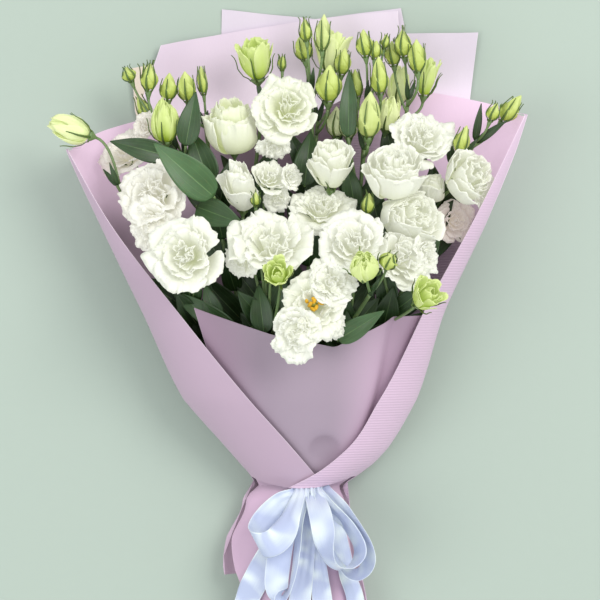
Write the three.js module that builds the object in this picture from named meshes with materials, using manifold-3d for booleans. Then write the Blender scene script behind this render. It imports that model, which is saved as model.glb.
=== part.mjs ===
// A hand-tied bouquet of white double lisianthus, lying on its back in a paper wrap with a satin bow.
// Millimetres. +Y runs from the cut stem ends to the flowers, +Z is up, the bouquet's front faces +Z.
// The origin is the flat underside of the ribbon band, below the middle of the tie.
import * as THREE from 'three';
import { mergeVertices } from 'three/addons/utils/BufferGeometryUtils.js';
import Module from 'manifold-3d';

const wasm = await Module();
wasm.setup();

// ---------------------------------------------------------------- driving dimensions
const PAPER = 0.8;            // thickness of a wrapping sheet
const LAYER = 1.3;            // step from one nested sheet to the next
const LOWEST_LAYER = 7;       // the sheet that lies on the table
const FLAT_SHARE = 0.12;      // share of the underside that the table presses flat
const SIDE_CURVE = 1.2;       // how late the underside turns up into the sides
const SKIRT_Y = -150;         // lower borders of the front panel and the back sheets
const STEM_R = 2.8;           // main stem
const PEDICEL_R = 1.4;        // flower stalk
const TWIG_R = 1.9;           // side stem between two forks
const END_SPREAD = 1.15;      // how far the cut ends spread, against the tie
const STEM_END_Y = -166;      // cut ends
const PETAL = 0.9;            // petal thickness
const LEAF = 0.9;             // leaf thickness
const SEAT = 0.4;             // gap between a calyx and the petals that it carries
const CALYX_R = 4.2;          // green cup under a flower
const RIBBON_W = 24;          // satin ribbon, spread flat
const RIBBON = 0.9;           // ribbon thickness
const BAND_HALF = 5;          // half width of the band round the tie
const CUP = 7;                // length of a calyx

// Cross-sections of the wrap along the bouquet: y, left side, right side, height of the widest point,
// height of the crown, and how far the tie lifts the sheets off the table.
const SECTIONS = [
  [-150, -62, 62, 30, 54, 0], [-97, -62, 58, 30, 54, 0], [-72, -70, 52, 29, 53, 0],
  [-43, -66, 46, 28, 52, 0], [-9, -50, 42, 26, 50, 1.4], [7, -43, 42, 26, 51, 1.4],
  [16, -48, 48, 28, 56, 1], [38, -69, 77, 34, 72, 0], [83, -108, 103, 46, 98, 0],
  [162, -144, 128, 60, 126, 0], [241, -181, 164, 72, 140, 0], [307, -211, 190, 78, 150, 0],
  [336, -220, 199, 80, 150, 0], [446, -240, 226, 88, 160, 0],
];

// ---------------------------------------------------------------- geometry helpers
const vec = (x, y, z) => new THREE.Vector3(x, y, z);
const lerp = THREE.MathUtils.lerp;
const clamp = THREE.MathUtils.clamp;
const rad = THREE.MathUtils.degToRad;

// Value of column `column` of a table whose rows start with an ascending station, straight between rows.
function interpolate(table, station, column) {
  const last = table.length - 1;
  let i = 0;
  while (i < last - 1 && station > table[i + 1][0]) i += 1;
  const share = clamp((station - table[i][0]) / (table[i + 1][0] - table[i][0]), 0, 1);
  return lerp(table[i][column], table[i + 1][column], share);
}

// Closed geometry: shared corners merged, collapsed triangles dropped.
function closed(positions, index) {
  const raw = new THREE.BufferGeometry();
  raw.setAttribute('position', new THREE.Float32BufferAttribute(positions, 3));
  raw.setIndex(index);
  const merged = mergeVertices(raw, 1e-3);
  const corners = merged.index.array;
  const kept = [];
  for (let i = 0; i < corners.length; i += 3) {
    const [a, b, c] = [corners[i], corners[i + 1], corners[i + 2]];
    if (a !== b && b !== c && c !== a) kept.push(a, b, c);
  }
  merged.setIndex(kept);
  return merged;
}

// A thin blade over surface(s, t), with s and t from 0 to 1, split alike on both faces.
function blade(columns, rows, surface, thickness) {
  const step = 1e-3;
  const positions = [];
  for (const side of [1, -1]) {
    for (let i = 0; i <= columns; i += 1) {
      for (let j = 0; j <= rows; j += 1) {
        const [s, t] = [i / columns, j / rows];
        const across = surface(Math.min(s + step, 1), t).sub(surface(Math.max(s - step, 0), t));
        const along = surface(s, Math.min(t + step, 1)).sub(surface(s, Math.max(t - step, 0)));
        const normal = across.cross(along).normalize();
        const point = surface(s, t).addScaledVector(normal, (side * thickness) / 2);
        positions.push(point.x, point.y, point.z);
      }
    }
  }
  const far = (columns + 1) * (rows + 1);
  const top = (i, j) => i * (rows + 1) + j;
  const under = (i, j) => far + top(i, j);
  const index = [];
  const quad = (a, b, c, d) => index.push(a, b, c, a, c, d);
  for (let i = 0; i < columns; i += 1) {
    for (let j = 0; j < rows; j += 1) {
      quad(top(i, j), top(i + 1, j), top(i + 1, j + 1), top(i, j + 1));
      index.push(under(i, j), under(i + 1, j + 1), under(i + 1, j));
      index.push(under(i, j), under(i, j + 1), under(i + 1, j + 1));
    }
    quad(under(i, 0), under(i + 1, 0), top(i + 1, 0), top(i, 0));
    quad(under(i + 1, rows), under(i, rows), top(i, rows), top(i + 1, rows));
  }
  for (let j = 0; j < rows; j += 1) {
    quad(under(columns, j), under(columns, j + 1), top(columns, j + 1), top(columns, j));
    quad(under(0, j + 1), under(0, j), top(0, j), top(0, j + 1));
  }
  return closed(positions, index);
}

// A turned body from (radius, height) pairs that start and end on the axis.
function turned(profile, segments) {
  const points = profile.map(([r, h]) => new THREE.Vector2(r, h));
  return new THREE.LatheGeometry(points, segments).rotateX(Math.PI / 2);
}

// A body round a bent axis, from [point, radius] stations. A radius of 0 closes it to a tip.
function swept(stations, sides) {
  const positions = [];
  const last = stations.length - 1;
  let aside = vec(0.31, 0.17, 0.94);
  stations.forEach(([point, radius], i) => {
    const ahead = stations[Math.min(i + 1, last)][0];
    const behind = stations[Math.max(i - 1, 0)][0];
    const along = ahead.clone().sub(behind).normalize();
    aside = aside.addScaledVector(along, -aside.dot(along)).normalize();
    const across = along.clone().cross(aside);
    for (let k = 0; k < sides; k += 1) {
      const angle = (2 * Math.PI * k) / sides;
      const corner = point.clone().addScaledVector(aside, radius * Math.cos(angle));
      corner.addScaledVector(across, radius * Math.sin(angle));
      positions.push(corner.x, corner.y, corner.z);
    }
  });
  const index = [];
  for (let i = 0; i < last; i += 1) {
    for (let k = 0; k < sides; k += 1) {
      const [a, b] = [i * sides + k, i * sides + ((k + 1) % sides)];
      index.push(a, b, b + sides, a, b + sides, a + sides);
    }
  }
  for (let k = 1; k < sides - 1; k += 1) {
    index.push(0, k + 1, k);
    index.push(last * sides, last * sides + k, last * sides + k + 1);
  }
  return closed(positions, index);
}

function toSolid(geometry) {
  const bare = geometry.clone();
  bare.deleteAttribute('normal');
  bare.deleteAttribute('uv');
  const merged = closed(
    bare.getAttribute('position').array,
    bare.index ? Array.from(bare.index.array) : [...Array(bare.getAttribute('position').count).keys()],
  );
  return new wasm.Manifold(new wasm.Mesh({
    numProp: 3,
    vertProperties: merged.getAttribute('position').array,
    triVerts: new Uint32Array(merged.index.array),
  }));
}

function toGeometry(solid) {
  const mesh = solid.getMesh();
  const geometry = new THREE.BufferGeometry();
  geometry.setAttribute('position', new THREE.BufferAttribute(mesh.vertProperties, 3));
  geometry.setIndex(new THREE.BufferAttribute(mesh.triVerts, 1));
  geometry.computeVertexNormals();
  return geometry;
}

// One geometry from several closed ones that run into each other.
function fused(geometries) {
  return toGeometry(geometries.map(toSolid).reduce((whole, solid) => whole.add(solid)));
}

// Turns a body built along +Z so that it points along `face`, and puts its foot at `foot`.
function placed(geometry, foot, face, roll = 0) {
  const turn = new THREE.Quaternion().setFromUnitVectors(vec(0, 0, 1), face);
  const spin = new THREE.Quaternion().setFromAxisAngle(vec(0, 0, 1), roll);
  const matrix = new THREE.Matrix4().compose(foot, turn.multiply(spin), vec(1, 1, 1));
  return geometry.applyMatrix4(matrix);
}

// ---------------------------------------------------------------- materials
function material(color, roughness, metalness = 0) {
  return new THREE.MeshStandardMaterial({ color, roughness, metalness });
}
const MATERIALS = {
  petal: material(0xf6f5ea, 0.6),
  stamen: material(0xe2a51c, 0.6),
  bud: material(0xd3de7c, 0.55),
  cream: material(0xefe9c4, 0.55),
  green: material(0x4d7a3c, 0.5),
  paperBack: material(0xe6d6e6, 0.7),
  paperMiddle: material(0xe3cad9, 0.7),
  paperCream: material(0xe6d3c4, 0.75),
  paperLeft: material(0xc9adbb, 0.7),
  paperRight: material(0xdcc5db, 0.7),
  paperFront: material(0xbfadbb, 0.7),
  ribbon: material(0xe6ecfa, 0.3),
};

const bouquet = new THREE.Group();
function add(name, geometry, kind) {
  const mesh = new THREE.Mesh(geometry, MATERIALS[kind]);
  mesh.name = name;
  bouquet.add(mesh);
  return mesh;
}

// ---------------------------------------------------------------- the wrap
// A point of the wrap's cross-section at y. The angle, in degrees, is 0 at the bottom, 90 at the left
// side, 180 on top and -90 at the right side. Larger layers lie further out and, below, further down.
function wrapPoint(angle, y, layer) {
  const [left, right, side, crown, lift] = [1, 2, 3, 4, 5].map((c) => interpolate(SECTIONS, y, c));
  const half = (right - left) / 2 + LAYER * (layer - 1.5);
  const x = (left + right) / 2 - half * Math.sin(rad(angle));
  const rise = 1 - Math.cos(rad(angle));
  const bottom = PAPER / 2 + LAYER * (LOWEST_LAYER - layer) + lift;
  if (rise <= 1) {
    const share = Math.max(0, rise - FLAT_SHARE) / (1 - FLAT_SHARE);
    return vec(x, y, bottom + (side - bottom) * share ** SIDE_CURVE);
  }
  return vec(x, y, side + (crown + LAYER * layer - side) * (rise - 1));
}

// Angle at which the section at y passes over x on its front half, counted on from `turnSign` * 90.
function frontAngle(x, y, layer, turnSign) {
  const left = interpolate(SECTIONS, y, 1);
  const right = interpolate(SECTIONS, y, 2);
  const half = (right - left) / 2 + LAYER * (layer - 1.5);
  const share = clamp((turnSign * ((left + right) / 2 - x)) / half, -1, 1);
  return turnSign * (180 - THREE.MathUtils.radToDeg(Math.asin(share)));
}

const ROWS = [SKIRT_Y, -80, -43, -9, 7, 16, 38, 83, 162, 241, 368];

// A sheet that bends round the bouquet. layerAt(angle) gives its layer, angleAt(s, y) its angle, and
// lowAt and highAt its lower and upper borders, each at s from 0 to 1. Its faces are set off along the
// section's own normal, because the borders hold some rows still.
function wrapSheet(columns, layerAt, angleAt, lowAt, highAt) {
  const rows = ROWS.length - 1;
  const plan = blade(columns, rows, (s, t) => vec(s, t, 0), 1);
  const places = plan.getAttribute('position');
  const positions = [];
  for (let k = 0; k < places.count; k += 1) {
    const s = places.getX(k);
    const row = places.getY(k) * rows;
    const i = Math.min(Math.floor(row), rows - 1);
    const y = clamp(lerp(ROWS[i], ROWS[i + 1], row - i), lowAt(s), highAt(s));
    const angle = angleAt(s, y);
    const layer = layerAt(angle);
    const across = wrapPoint(angle + 0.5, y, layer).sub(wrapPoint(angle - 0.5, y, layer));
    const along = wrapPoint(angle, y + 0.5, layer).sub(wrapPoint(angle, y - 0.5, layer));
    const point = wrapPoint(angle, y, layer);
    point.addScaledVector(across.cross(along).normalize(), (Math.sign(places.getZ(k)) * PAPER) / 2);
    positions.push(point.x, point.y, point.z);
  }
  return closed(positions, Array.from(plan.index.array));
}

// Free edges of the two front flaps: y and x.
const LEFT_EDGE = [[10, 14], [16, 8], [38, -9], [83, -47], [162, -109], [241, -170], [307, -209]];
const RIGHT_EDGE = [[10, 2], [16, 10], [38, 38], [83, 67], [162, 108], [241, 152], [336, 197]];
// Upper borders, by angle from the bottom.
const LEFT_TOP = [[-20, 345], [22, 345], [41, 338], [56, 327], [80, 307], [220, 307]];
const RIGHT_TOP = [[-20, 368], [20, 368], [34, 365], [48, 357], [68, 339], [80, 336], [220, 336]];
const SIDE_END = 96;          // past this angle a flap's lower border runs up to the tie,
const TIE_ANGLE = 104;        // meets it here,
const FLAP_START = 118;       // and above the tie goes on from here over the front
const TIE_LOW = -9;
const FLAP_LOW = 10;
const SHEET_OVERLAP = 14;     // how far a side sheet passes the middle of the underside
const SIDE_COLUMNS = 4;
const FLAP_COLUMNS = 8;
const SPREAD_SHARE = 0.34;    // where that edge is near, the front's first column lies this far to it
const TOP_Y = 300;            // upper borders are read at the angles that the columns have here
const CROSSING = [112, 150];  // between these angles a flap rises over the one that it crosses
const LEFT_SKIRT_Y = -78;
const RIGHT_SKIRT_Y = -122;
const RIGHT_OVER_LEFT = 1.4;  // layers that the right flap rises where it crosses the left one

function flap(turnSign, layer, overCrown, edge, top, skirtLow) {
  // Columns are counted from below; a right-hand flap is laid out the other way round.
  const columnOf = (s) => Math.round((turnSign > 0 ? s : 1 - s) * FLAP_COLUMNS);
  const angleAt = (s, y) => {
    const column = columnOf(s);
    if (column <= SIDE_COLUMNS) return turnSign * lerp(-SHEET_OVERLAP, SIDE_END, column / SIDE_COLUMNS);
    if (column === SIDE_COLUMNS + 1) return turnSign * TIE_ANGLE;
    const end = Math.abs(frontAngle(interpolate(edge, y, 1), y, layer, turnSign));
    const start = Math.min(FLAP_START, lerp(TIE_ANGLE, end, SPREAD_SHARE));
    return turnSign * lerp(start, end, (column - SIDE_COLUMNS - 2) / (FLAP_COLUMNS - SIDE_COLUMNS - 2));
  };
  const lowAt = (s) => {
    if (columnOf(s) <= SIDE_COLUMNS) return skirtLow;
    return columnOf(s) === SIDE_COLUMNS + 1 ? TIE_LOW : FLAP_LOW;
  };
  const highAt = (s) => interpolate(top, columnOf(s) === 0 ? 0 : Math.abs(angleAt(s, TOP_Y)), 1);
  const layerAt = (angle) => layer + overCrown * THREE.MathUtils.smoothstep(Math.abs(angle), ...CROSSING);
  return wrapSheet(FLAP_COLUMNS, layerAt, angleAt, lowAt, highAt);
}

add('wrap_left', flap(1, 1, 0, LEFT_EDGE, LEFT_TOP, LEFT_SKIRT_Y), 'paperLeft');
add('wrap_right', flap(-1, 2, RIGHT_OVER_LEFT, RIGHT_EDGE, RIGHT_TOP, RIGHT_SKIRT_Y), 'paperRight');

// The front panel, seen between the flaps: its upper border by angle from the crown.
const FRONT_TOP = [[-44, 167], [-23, 151], [-9, 142], [17, 131], [29, 143], [45, 158], [78, 160]];
const FRONT_FROM = -44;
const FRONT_TO = 78;
const FRONT_LAYER = -2.2;     // it lies inside both flaps
const FRONT_COLUMNS = 6;
const frontTurn = (s) => lerp(FRONT_FROM, FRONT_TO, s);
add('wrap_front', wrapSheet(FRONT_COLUMNS, () => FRONT_LAYER, (s) => 180 + frontTurn(s), () => SKIRT_Y,
  (s) => interpolate(FRONT_TOP, frontTurn(s), 1)), 'paperFront');

// Back sheets lie flat below the flowers. Their side borders run from the tie to the corners.
const WAIST_HALF = 27;
const MIDDLE_X = -1;
const BACK_ROWS = [SKIRT_Y, -43, -9, 7, 16, 38, 200, 300];
function backSheet(layer, leftTop, rightTop, skirtHalf, crest) {
  const border = (y, corner, sign) => {
    const waist = MIDDLE_X + sign * WAIST_HALF;
    if (y < 0) return lerp(waist, MIDDLE_X + sign * skirtHalf, y / SKIRT_Y);
    return lerp(waist, corner[0], y / corner[1]);
  };
  const rows = BACK_ROWS.length;
  const surface = (s, t) => {
    const row = t * rows;
    const i = Math.min(Math.floor(row), rows - 1);
    const top = lerp(leftTop[1], rightTop[1], s) + crest * 4 * s * (1 - s);
    const y = lerp(BACK_ROWS[i], i === rows - 1 ? top : BACK_ROWS[i + 1], row - i);
    const x = lerp(border(y, leftTop, -1), border(y, rightTop, 1), s);
    return vec(x, y, PAPER / 2 + LAYER * (LOWEST_LAYER - layer) + interpolate(SECTIONS, y, 5));
  };
  return blade(2, rows, surface, PAPER);
}

add('wrap_middle', backSheet(3, [-130, 407], [78, 411], 29, 8), 'paperMiddle');
add('wrap_cream', backSheet(4, [-161, 386], [-60, 404], 24, 0), 'paperCream');
add('wrap_back_right', backSheet(5, [40, 418], [157, 418], 28, 0), 'paperBack');
add('wrap_back_centre', backSheet(6, [2, 430], [92, 442], 26, 0), 'paperBack');
add('wrap_back_left', backSheet(7, [-74, 441], [70, 425], 29, 0), 'paperBack');

// ---------------------------------------------------------------- the ribbon
const BAND_T = 1;             // thickness of the gathered band
const BAND_SIDES = 20;
const KNOT = [3, 1.5, 55];
const KNOT_SIZE = [10, 6.5, 7];
const BAND_ON_FRONT = -1.25;  // layer of the band over the front panel
const BAND_ON_FLAPS = 4;      // and round the flaps
const TAIL_LAYER = -0.3;      // tails lie this far out on the skirt's front
const TAIL_REACH = 0.97;      // and go round it up to this share of its half width
const TAIL_RISE = 6;          // how far they stand off it at the knot

// The layer that the band lies on: the flaps at the sides, the front panel over the crown.
function bandLayer(angle) {
  const fromCrown = Math.abs(180 - angle);
  return lerp(BAND_ON_FRONT, BAND_ON_FLAPS, THREE.MathUtils.smoothstep(fromCrown, 38, 54));
}

function bandOutline(outset) {
  const points = [];
  for (let i = 0; i < BAND_SIDES; i += 1) {
    const angle = 360 - (360 * i) / BAND_SIDES;
    const layer = bandLayer(angle) + outset / LAYER;
    const point = wrapPoint(angle, 0, layer);
    const fromBottom = Math.min(angle, 360 - angle);
    const floor = BAND_T - outset;
    const onFlat = 1 - THREE.MathUtils.smoothstep(fromBottom, 42, 80);
    points.push(new THREE.Vector2(point.x, lerp(point.z, floor, onFlat)));
  }
  return points;
}

function ribbonBand() {
  const shape = new THREE.Shape(bandOutline(BAND_T));
  shape.holes.push(new THREE.Path(bandOutline(0)));
  const band = new THREE.ExtrudeGeometry(shape, { depth: 2 * BAND_HALF, bevelEnabled: false });
  return band.rotateX(Math.PI / 2).translate(0, BAND_HALF, 0);
}

// A length of ribbon through points [x, y, z, width, tilt in degrees about its run].
function ribbonStrip(points, steps) {
  const curve = new THREE.CatmullRomCurve3(points.map(([x, y, z]) => vec(x, y, z)));
  const stations = points.map(([, , , width, tilt], i) => [i / (points.length - 1), width, tilt]);
  const surface = (s, t) => {
    const along = curve.getTangent(t);
    const side = along.clone().cross(vec(0, 0, 1)).normalize();
    side.applyAxisAngle(along, rad(interpolate(stations, t, 2)));
    return curve.getPoint(t).addScaledVector(side, (s - 0.5) * interpolate(stations, t, 1));
  };
  return blade(1, steps, surface, RIBBON);
}

// A length of ribbon that lies on the front of the skirt, through points [x, y, width].
function ribbonTail(points, steps) {
  const onSkirt = (x, y, out) => {
    const left = interpolate(SECTIONS, y, 1);
    const right = interpolate(SECTIONS, y, 2);
    const share = clamp(((left + right) / 2 - x) / ((right - left) / 2), -TAIL_REACH, TAIL_REACH);
    const angle = 180 - THREE.MathUtils.radToDeg(Math.asin(share));
    return wrapPoint(angle, y, TAIL_LAYER + out / LAYER).setX(x);
  };
  const stations = points.map(([, y, width], i) => [i / (points.length - 1), y, width, points[i][0]]);
  const surface = (s, t) => {
    const y = interpolate(stations, t, 1);
    const x = interpolate(stations, t, 3) + (s - 0.5) * interpolate(stations, t, 2);
    return onSkirt(x, y, TAIL_RISE * (1 - t) ** 3);
  };
  return blade(1, steps, surface, RIBBON);
}

const LOOPS = [
  [[2, 1, 55, 9, 0], [-18, -12, 66, 20, 8], [-40, -34, 66, RIBBON_W, 12], [-46, -46, 58, RIBBON_W, 6],
    [-32, -38, 52, 22, 0], [-8, -8, 53, 10, 0]],
  [[2, 0, 55, 9, 0], [-6, -28, 66, 20, 0], [-16, -66, 66, RIBBON_W, 0], [-19, -90, 60, RIBBON_W, 0],
    [-14, -74, 53.5, 20, 0], [0, -8, 53.5, 10, 0]],
  [[4, 0, 55, 9, 0], [26, -22, 68, 20, -8], [54, -50, 66, RIBBON_W, -14], [64, -62, 58, RIBBON_W, -10],
    [46, -56, 50.5, 22, -6], [10, -8, 53.5, 10, 0]],
  [[4, -1, 55, 9, 0], [18, -30, 72, 20, -16], [38, -58, 75, 22, -20]],
];
const TAILS = [
  [[-4, -4, 9], [-26, -52, 22], [-45, -92, RIBBON_W], [-54, -124, RIBBON_W]],
  [[0, -4, 9], [-6, -60, 22], [-8, -104, RIBBON_W], [-14, -142, RIBBON_W]],
  [[6, -4, 9], [18, -60, 22], [24, -108, RIBBON_W], [22, -136, RIBBON_W]],
];
const knot = new THREE.SphereGeometry(1, 6, 4).scale(...KNOT_SIZE).translate(...KNOT);
add('ribbon', fused([
  ribbonBand(), knot,
  ...LOOPS.map((points) => ribbonStrip(points, points.length)),
  ...TAILS.map((points) => ribbonTail(points, 3)),
]), 'ribbon');

// ---------------------------------------------------------------- stems
// Where the stems stand at the tie: a row on the paper and a row in its hollows.
const SLOT = 6;
const ROW_Z = 13.4;
const slot = (column, row) => [SLOT * column, ROW_Z + row * SLOT * 0.87];

// Forks: name, where, and what it grows from (a slot for a main stem).
const FORKS = {
  s1: { at: [-80, 259, 46], from: slot(-2.5, 0) },
  s1a: { at: [-114, 308, 55], from: 's1' },
  s1b: { at: [-87, 328, 50], from: 's1' },
  s1c: { at: [-105, 299, 60], from: 's1' },
  s2: { at: [-45, 272, 44], from: slot(-1.5, 0) },
  s2a: { at: [-35, 352, 50], from: 's2' },
  s3: { at: [10, 290, 46], from: slot(-0.5, 0) },
  s3a: { at: [8, 361, 50], from: 's3' },
  s3b: { at: [14, 335, 42], from: 's3' },
  s4: { at: [52, 263, 50], from: slot(0.5, 0) },
  s4a: { at: [58, 351, 54], from: 's4' },
  s4c: { at: [56, 308, 60], from: 's4' },
  s5: { at: [89, 300, 42], from: slot(1.5, 0) },
  s5a: { at: [96, 354, 48], from: 's5' },
  s6: { at: [125, 263, 45], from: slot(2.5, 0) },
  s6a: { at: [156, 315, 62], from: 's6' },
  s6b: { at: [135, 294, 58], from: 's6' },
  s7: { at: [-105, 171, 78], from: slot(-2, 1) },
  s7a: { at: [-165, 275, 78], from: 's7' },
  s8: { at: [-32, 157, 84], from: slot(-1, 1) },
  s9: { at: [43, 151, 84], from: slot(1, 1) },
  s9a: { at: [59, 178, 142], from: 's9' },
  s10: { at: [81, 167, 80], from: slot(2, 1) },
};

// ---------------------------------------------------------------- flowers
// Blooms: middle of the face, radius, the way it looks, how far it has opened (0 to 1), what it grows
// from, and its outer and inner petals.
const BLOOMS = [
  [[-63, 328, 75], 24, [-0.05, 0.8, 0.6], 0.15, 's2', 4, 3],
  [[-14, 344, 88], 30, [0.05, 0.35, 0.93], 0.6, 's2', 5, 3],
  [[-158, 308, 62], 22, [-0.4, 0.5, 0.75], 0.7, 's7a', 4, 2],
  [[-132, 264, 100], 32, [-0.35, 0.25, 0.9], 0.9, 's7', 5, 3],
  [[-58, 279, 96], 19, [0, 0.75, 0.66], 0.5, 's8', 4, 2],
  [[-24, 281, 92], 20, [0.3, 0.5, 0.8], 0.8, 's8', 4, 2],
  [[-101, 212, 142], 34, [-0.25, -0.05, 0.96], 0.8, 's7', 5, 3],
  [[-28, 224, 142], 37, [0, 0.4, 0.9], 1, 's8', 5, 4],
  [[18, 255, 96], 29, [0, 0.7, 0.7], 0.8, 's9', 4, 2],
  [[43, 222, 146], 32, [-0.05, 0.3, 0.95], 0.8, 's9', 5, 3],
  [[92, 206, 130], 29, [0.4, 0.1, 0.9], 0.8, 's10', 5, 3],
  [[13, 166, 162], 38, [-0.12, -0.3, 0.94], 1, 's9', 5, 4],
  [[26, 296, 106], 21, [0.05, 0.62, 0.78], 0.3, 's3', 4, 2],
  [[107, 318, 82], 29, [0.15, 0.5, 0.85], 0.8, 's5', 4, 2],
  [[82, 288, 122], 28, [0.05, 0.7, 0.7], 0.2, 's10', 4, 3],
  [[147, 281, 90], 25, [0.45, 0.35, 0.8], 0.6, 's6', 4, 3],
  [[116, 279, 76], 17, [0, 0.8, 0.6], 0.2, 's6', 4, 2],
  [[97, 247, 114], 30, [0.3, 0.35, 0.88], 0.5, 's10', 5, 3],
  [[137, 243, 62], 18, [0.3, -0.1, 0.9], 0.6, 's6', 4, 2],
];

// Buds: middle, length, width, the way it points, what it grows from, and what it is:
// 'open' and 'shut' buds are pieces of their own, a 'small' one is part of its spray.
const BUDS = [
  [[-207, 325, 85], 36, 27, [-0.93, 0.3, 0.15], 's7a', 'open'],
  [[-156, 376, 62], 13, 12, [-0.35, 0.9, 0.2], 's1a', 'small'],
  [[-137, 373, 66], 24, 14, [0.05, 1, 0.1], 's1a', 'small'],
  [[-142, 375, 52], 20, 7, [-0.1, 1, 0], 's1a', 'small'],
  [[-120, 365, 60], 24, 15, [0.05, 1, 0.1], 's1a', 'shut'],
  [[-144, 347, 52], 22, 11, [-0.4, 0.9, 0.1], 's1a', 'small'],
  [[-123, 332, 78], 36, 27, [-0.05, 0.95, 0.3], 's1c', 'open'],
  [[-104, 365, 64], 27, 16, [-0.1, 0.95, 0.3], 's1b', 'shut'],
  [[-90, 371, 58], 25, 9, [-0.1, 1, 0.1], 's1b', 'small'],
  [[-42, 389, 60], 36, 32, [-0.1, 0.9, 0.35], 's2a', 'open'],
  [[-18, 387, 55], 13, 7, [0, 1, 0], 's2a', 'small'],
  [[-41, 262, 108], 12, 8, [0, 0.9, 0.4], 's8', 'small'],
  [[-21, 195, 173], 22, 24, [-0.1, 0.35, 0.93], 's8', 'open'],
  [[53, 202, 178], 26, 27, [-0.1, 0.5, 0.85], 's9a', 'open'],
  [[74, 207, 172], 17, 15, [0.15, 0.6, 0.8], 's9a', 'small'],
  [[107, 176, 150], 26, 28, [0.45, 0.45, 0.75], 's10', 'open'],
  [[3, 416, 60], 19, 11, [-0.1, 1, 0.05], 's3a', 'small'],
  [[1, 402, 46], 24, 16, [-0.15, 1, 0], 's3a', 'shut'],
  [[19, 414, 60], 32, 14, [0.05, 1, 0.05], 's3a', 'shut'],
  [[26, 398, 36], 35, 31, [0.1, 0.95, 0.2], 's3b', 'open'],
  [[37, 388, 54], 24, 14, [0.15, 1, 0.1], 's3b', 'small'],
  [[24, 367, 70], 33, 22, [0.05, 1, 0.15], 's3b', 'shut'],
  [[56, 404, 62], 24, 14, [-0.1, 1, 0.1], 's4a', 'small'],
  [[66, 398, 62], 16, 11, [0.1, 1, 0.1], 's4a', 'small'],
  [[75, 406, 58], 13, 7, [0.2, 1, 0], 's4a', 'small'],
  [[69, 374, 75], 33, 15, [-0.05, 1, 0.1], 's4c', 'shut'],
  [[49, 369, 48], 25, 11, [-0.1, 1, 0], 's4a', 'small'],
  [[60, 338, 84], 41, 21, [0.05, 1, 0.1], 's4c', 'shut'],
  [[91, 404, 60], 24, 15, [-0.1, 1, 0.1], 's5a', 'small'],
  [[103, 392, 69], 29, 16, [-0.05, 1, 0.15], 's5a', 'shut'],
  [[82, 396, 48], 22, 14, [-0.1, 1, 0], 's5a', 'small'],
  [[113, 375, 43], 34, 20, [0.15, 0.95, 0.15], 's5a', 'open'],
  [[143, 316, 80], 26, 13, [0.3, 0.95, 0.1], 's6b', 'small'],
  [[171, 341, 78], 16, 11, [0.35, 0.9, 0.2], 's6a', 'small'],
  [[188, 345, 66], 28, 15, [0.6, 0.8, 0.1], 's6a', 'shut'],
  [[58, 258, 112], 18, 11, [0.1, 0.9, 0.3], 's4', 'small'],
  [[88, 368, 33], 33, 22, [0.1, 0.9, 0.25], 's5', 'open'],
  [[78, 341, 55], 31, 23, [0.15, 0.85, 0.5], 's5', 'open'],
  [[42, 332, 64], 27, 16, [0, 0.95, 0.2], 's4', 'shut'],
  [[31, 334, 50], 27, 17, [0, 0.95, 0.1], 's3', 'shut'],
];

// Leaves: root on the stem, base of the blade, tip, width, what it grows from.
const LEAVES = [
  [[-105, 299, 60], [-104, 310, 82], [-95, 359, 80], 20, 's1c'],
  [[-105, 299, 60], [-119, 301, 84], [-171, 314, 88], 20, 's1c'],
  [[-80, 259, 46], [-78, 264, 104], [-130, 310, 122], 34, 's1'],
  [[-80, 259, 46], [-82, 276, 78], [-100, 325, 70], 27, 's1'],
  [[-80, 259, 46], [-94, 256, 84], [-53, 240, 104], 25, 's1'],
  [[52, 263, 50], [41, 318, 78], [42, 379, 74], 17, 's4'],
  [[10, 290, 46], [2, 275, 74], [8, 326, 62], 23, 's3'],
  [[52, 263, 50], [47, 257, 72], [40, 294, 78], 18, 's4'],
  [[-32, 157, 84], [-58, 142, 96], [-119, 178, 98], 22, 's8'],
  [[-105, 171, 78], [-75, 152, 84], [-87, 187, 88], 16, 's7'],
  [[-32, 157, 84], [-34, 143, 98], [-39, 187, 94], 20, 's8'],
  [[43, 151, 84], [31, 138, 130], [70, 163, 150], 18, 's9'],
  [[81, 167, 80], [105, 205, 94], [123, 230, 86], 14, 's10'],
];

const unit = ([x, y, z]) => vec(x, y, z).normalize();
const at = ([x, y, z]) => vec(x, y, z);
const bloomDepth = (radius, openness) => radius * (1.35 - 0.5 * openness);
const FACE_SHARE = 0.75;      // share of a bloom's depth that lies below the middle of its face
const HEART_SHARE = 0.35;     // and below its heart, which neighbours press towards

const blooms = BLOOMS.map(([middle, radius, face, openness, fork, outer, inner], i) => {
  const axis = unit(face);
  const depth = bloomDepth(radius, openness);
  const foot = at(middle).addScaledVector(axis, -FACE_SHARE * depth);
  const heart = at(middle).addScaledVector(axis, -HEART_SHARE * depth);
  const name = `bloom_${String(i + 1).padStart(2, '0')}`;
  return { name, radius, axis, openness, fork, outer, inner, depth, foot, heart };
});

// A petal that meets a neighbouring bloom is pressed flat against it.
const PRESS_GAP = 0.9;
function pressed(point, bloom) {
  for (const other of blooms) {
    if (other === bloom) continue;
    const apart = other.heart.clone().sub(bloom.heart);
    const distance = apart.length();
    if (distance > (bloom.radius + other.radius) * 1.1) continue;
    apart.normalize();
    const wall = (distance * bloom.radius) / (bloom.radius + other.radius) - PRESS_GAP;
    const over = point.clone().sub(bloom.heart).dot(apart) - wall;
    if (over > 0) point.addScaledVector(apart, -over);
  }
  return point;
}

function bezier(a, b, c, d, t) {
  const u = 1 - t;
  return u ** 3 * a + 3 * u * u * t * b + 3 * u * t * t * c + t ** 3 * d;
}

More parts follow.
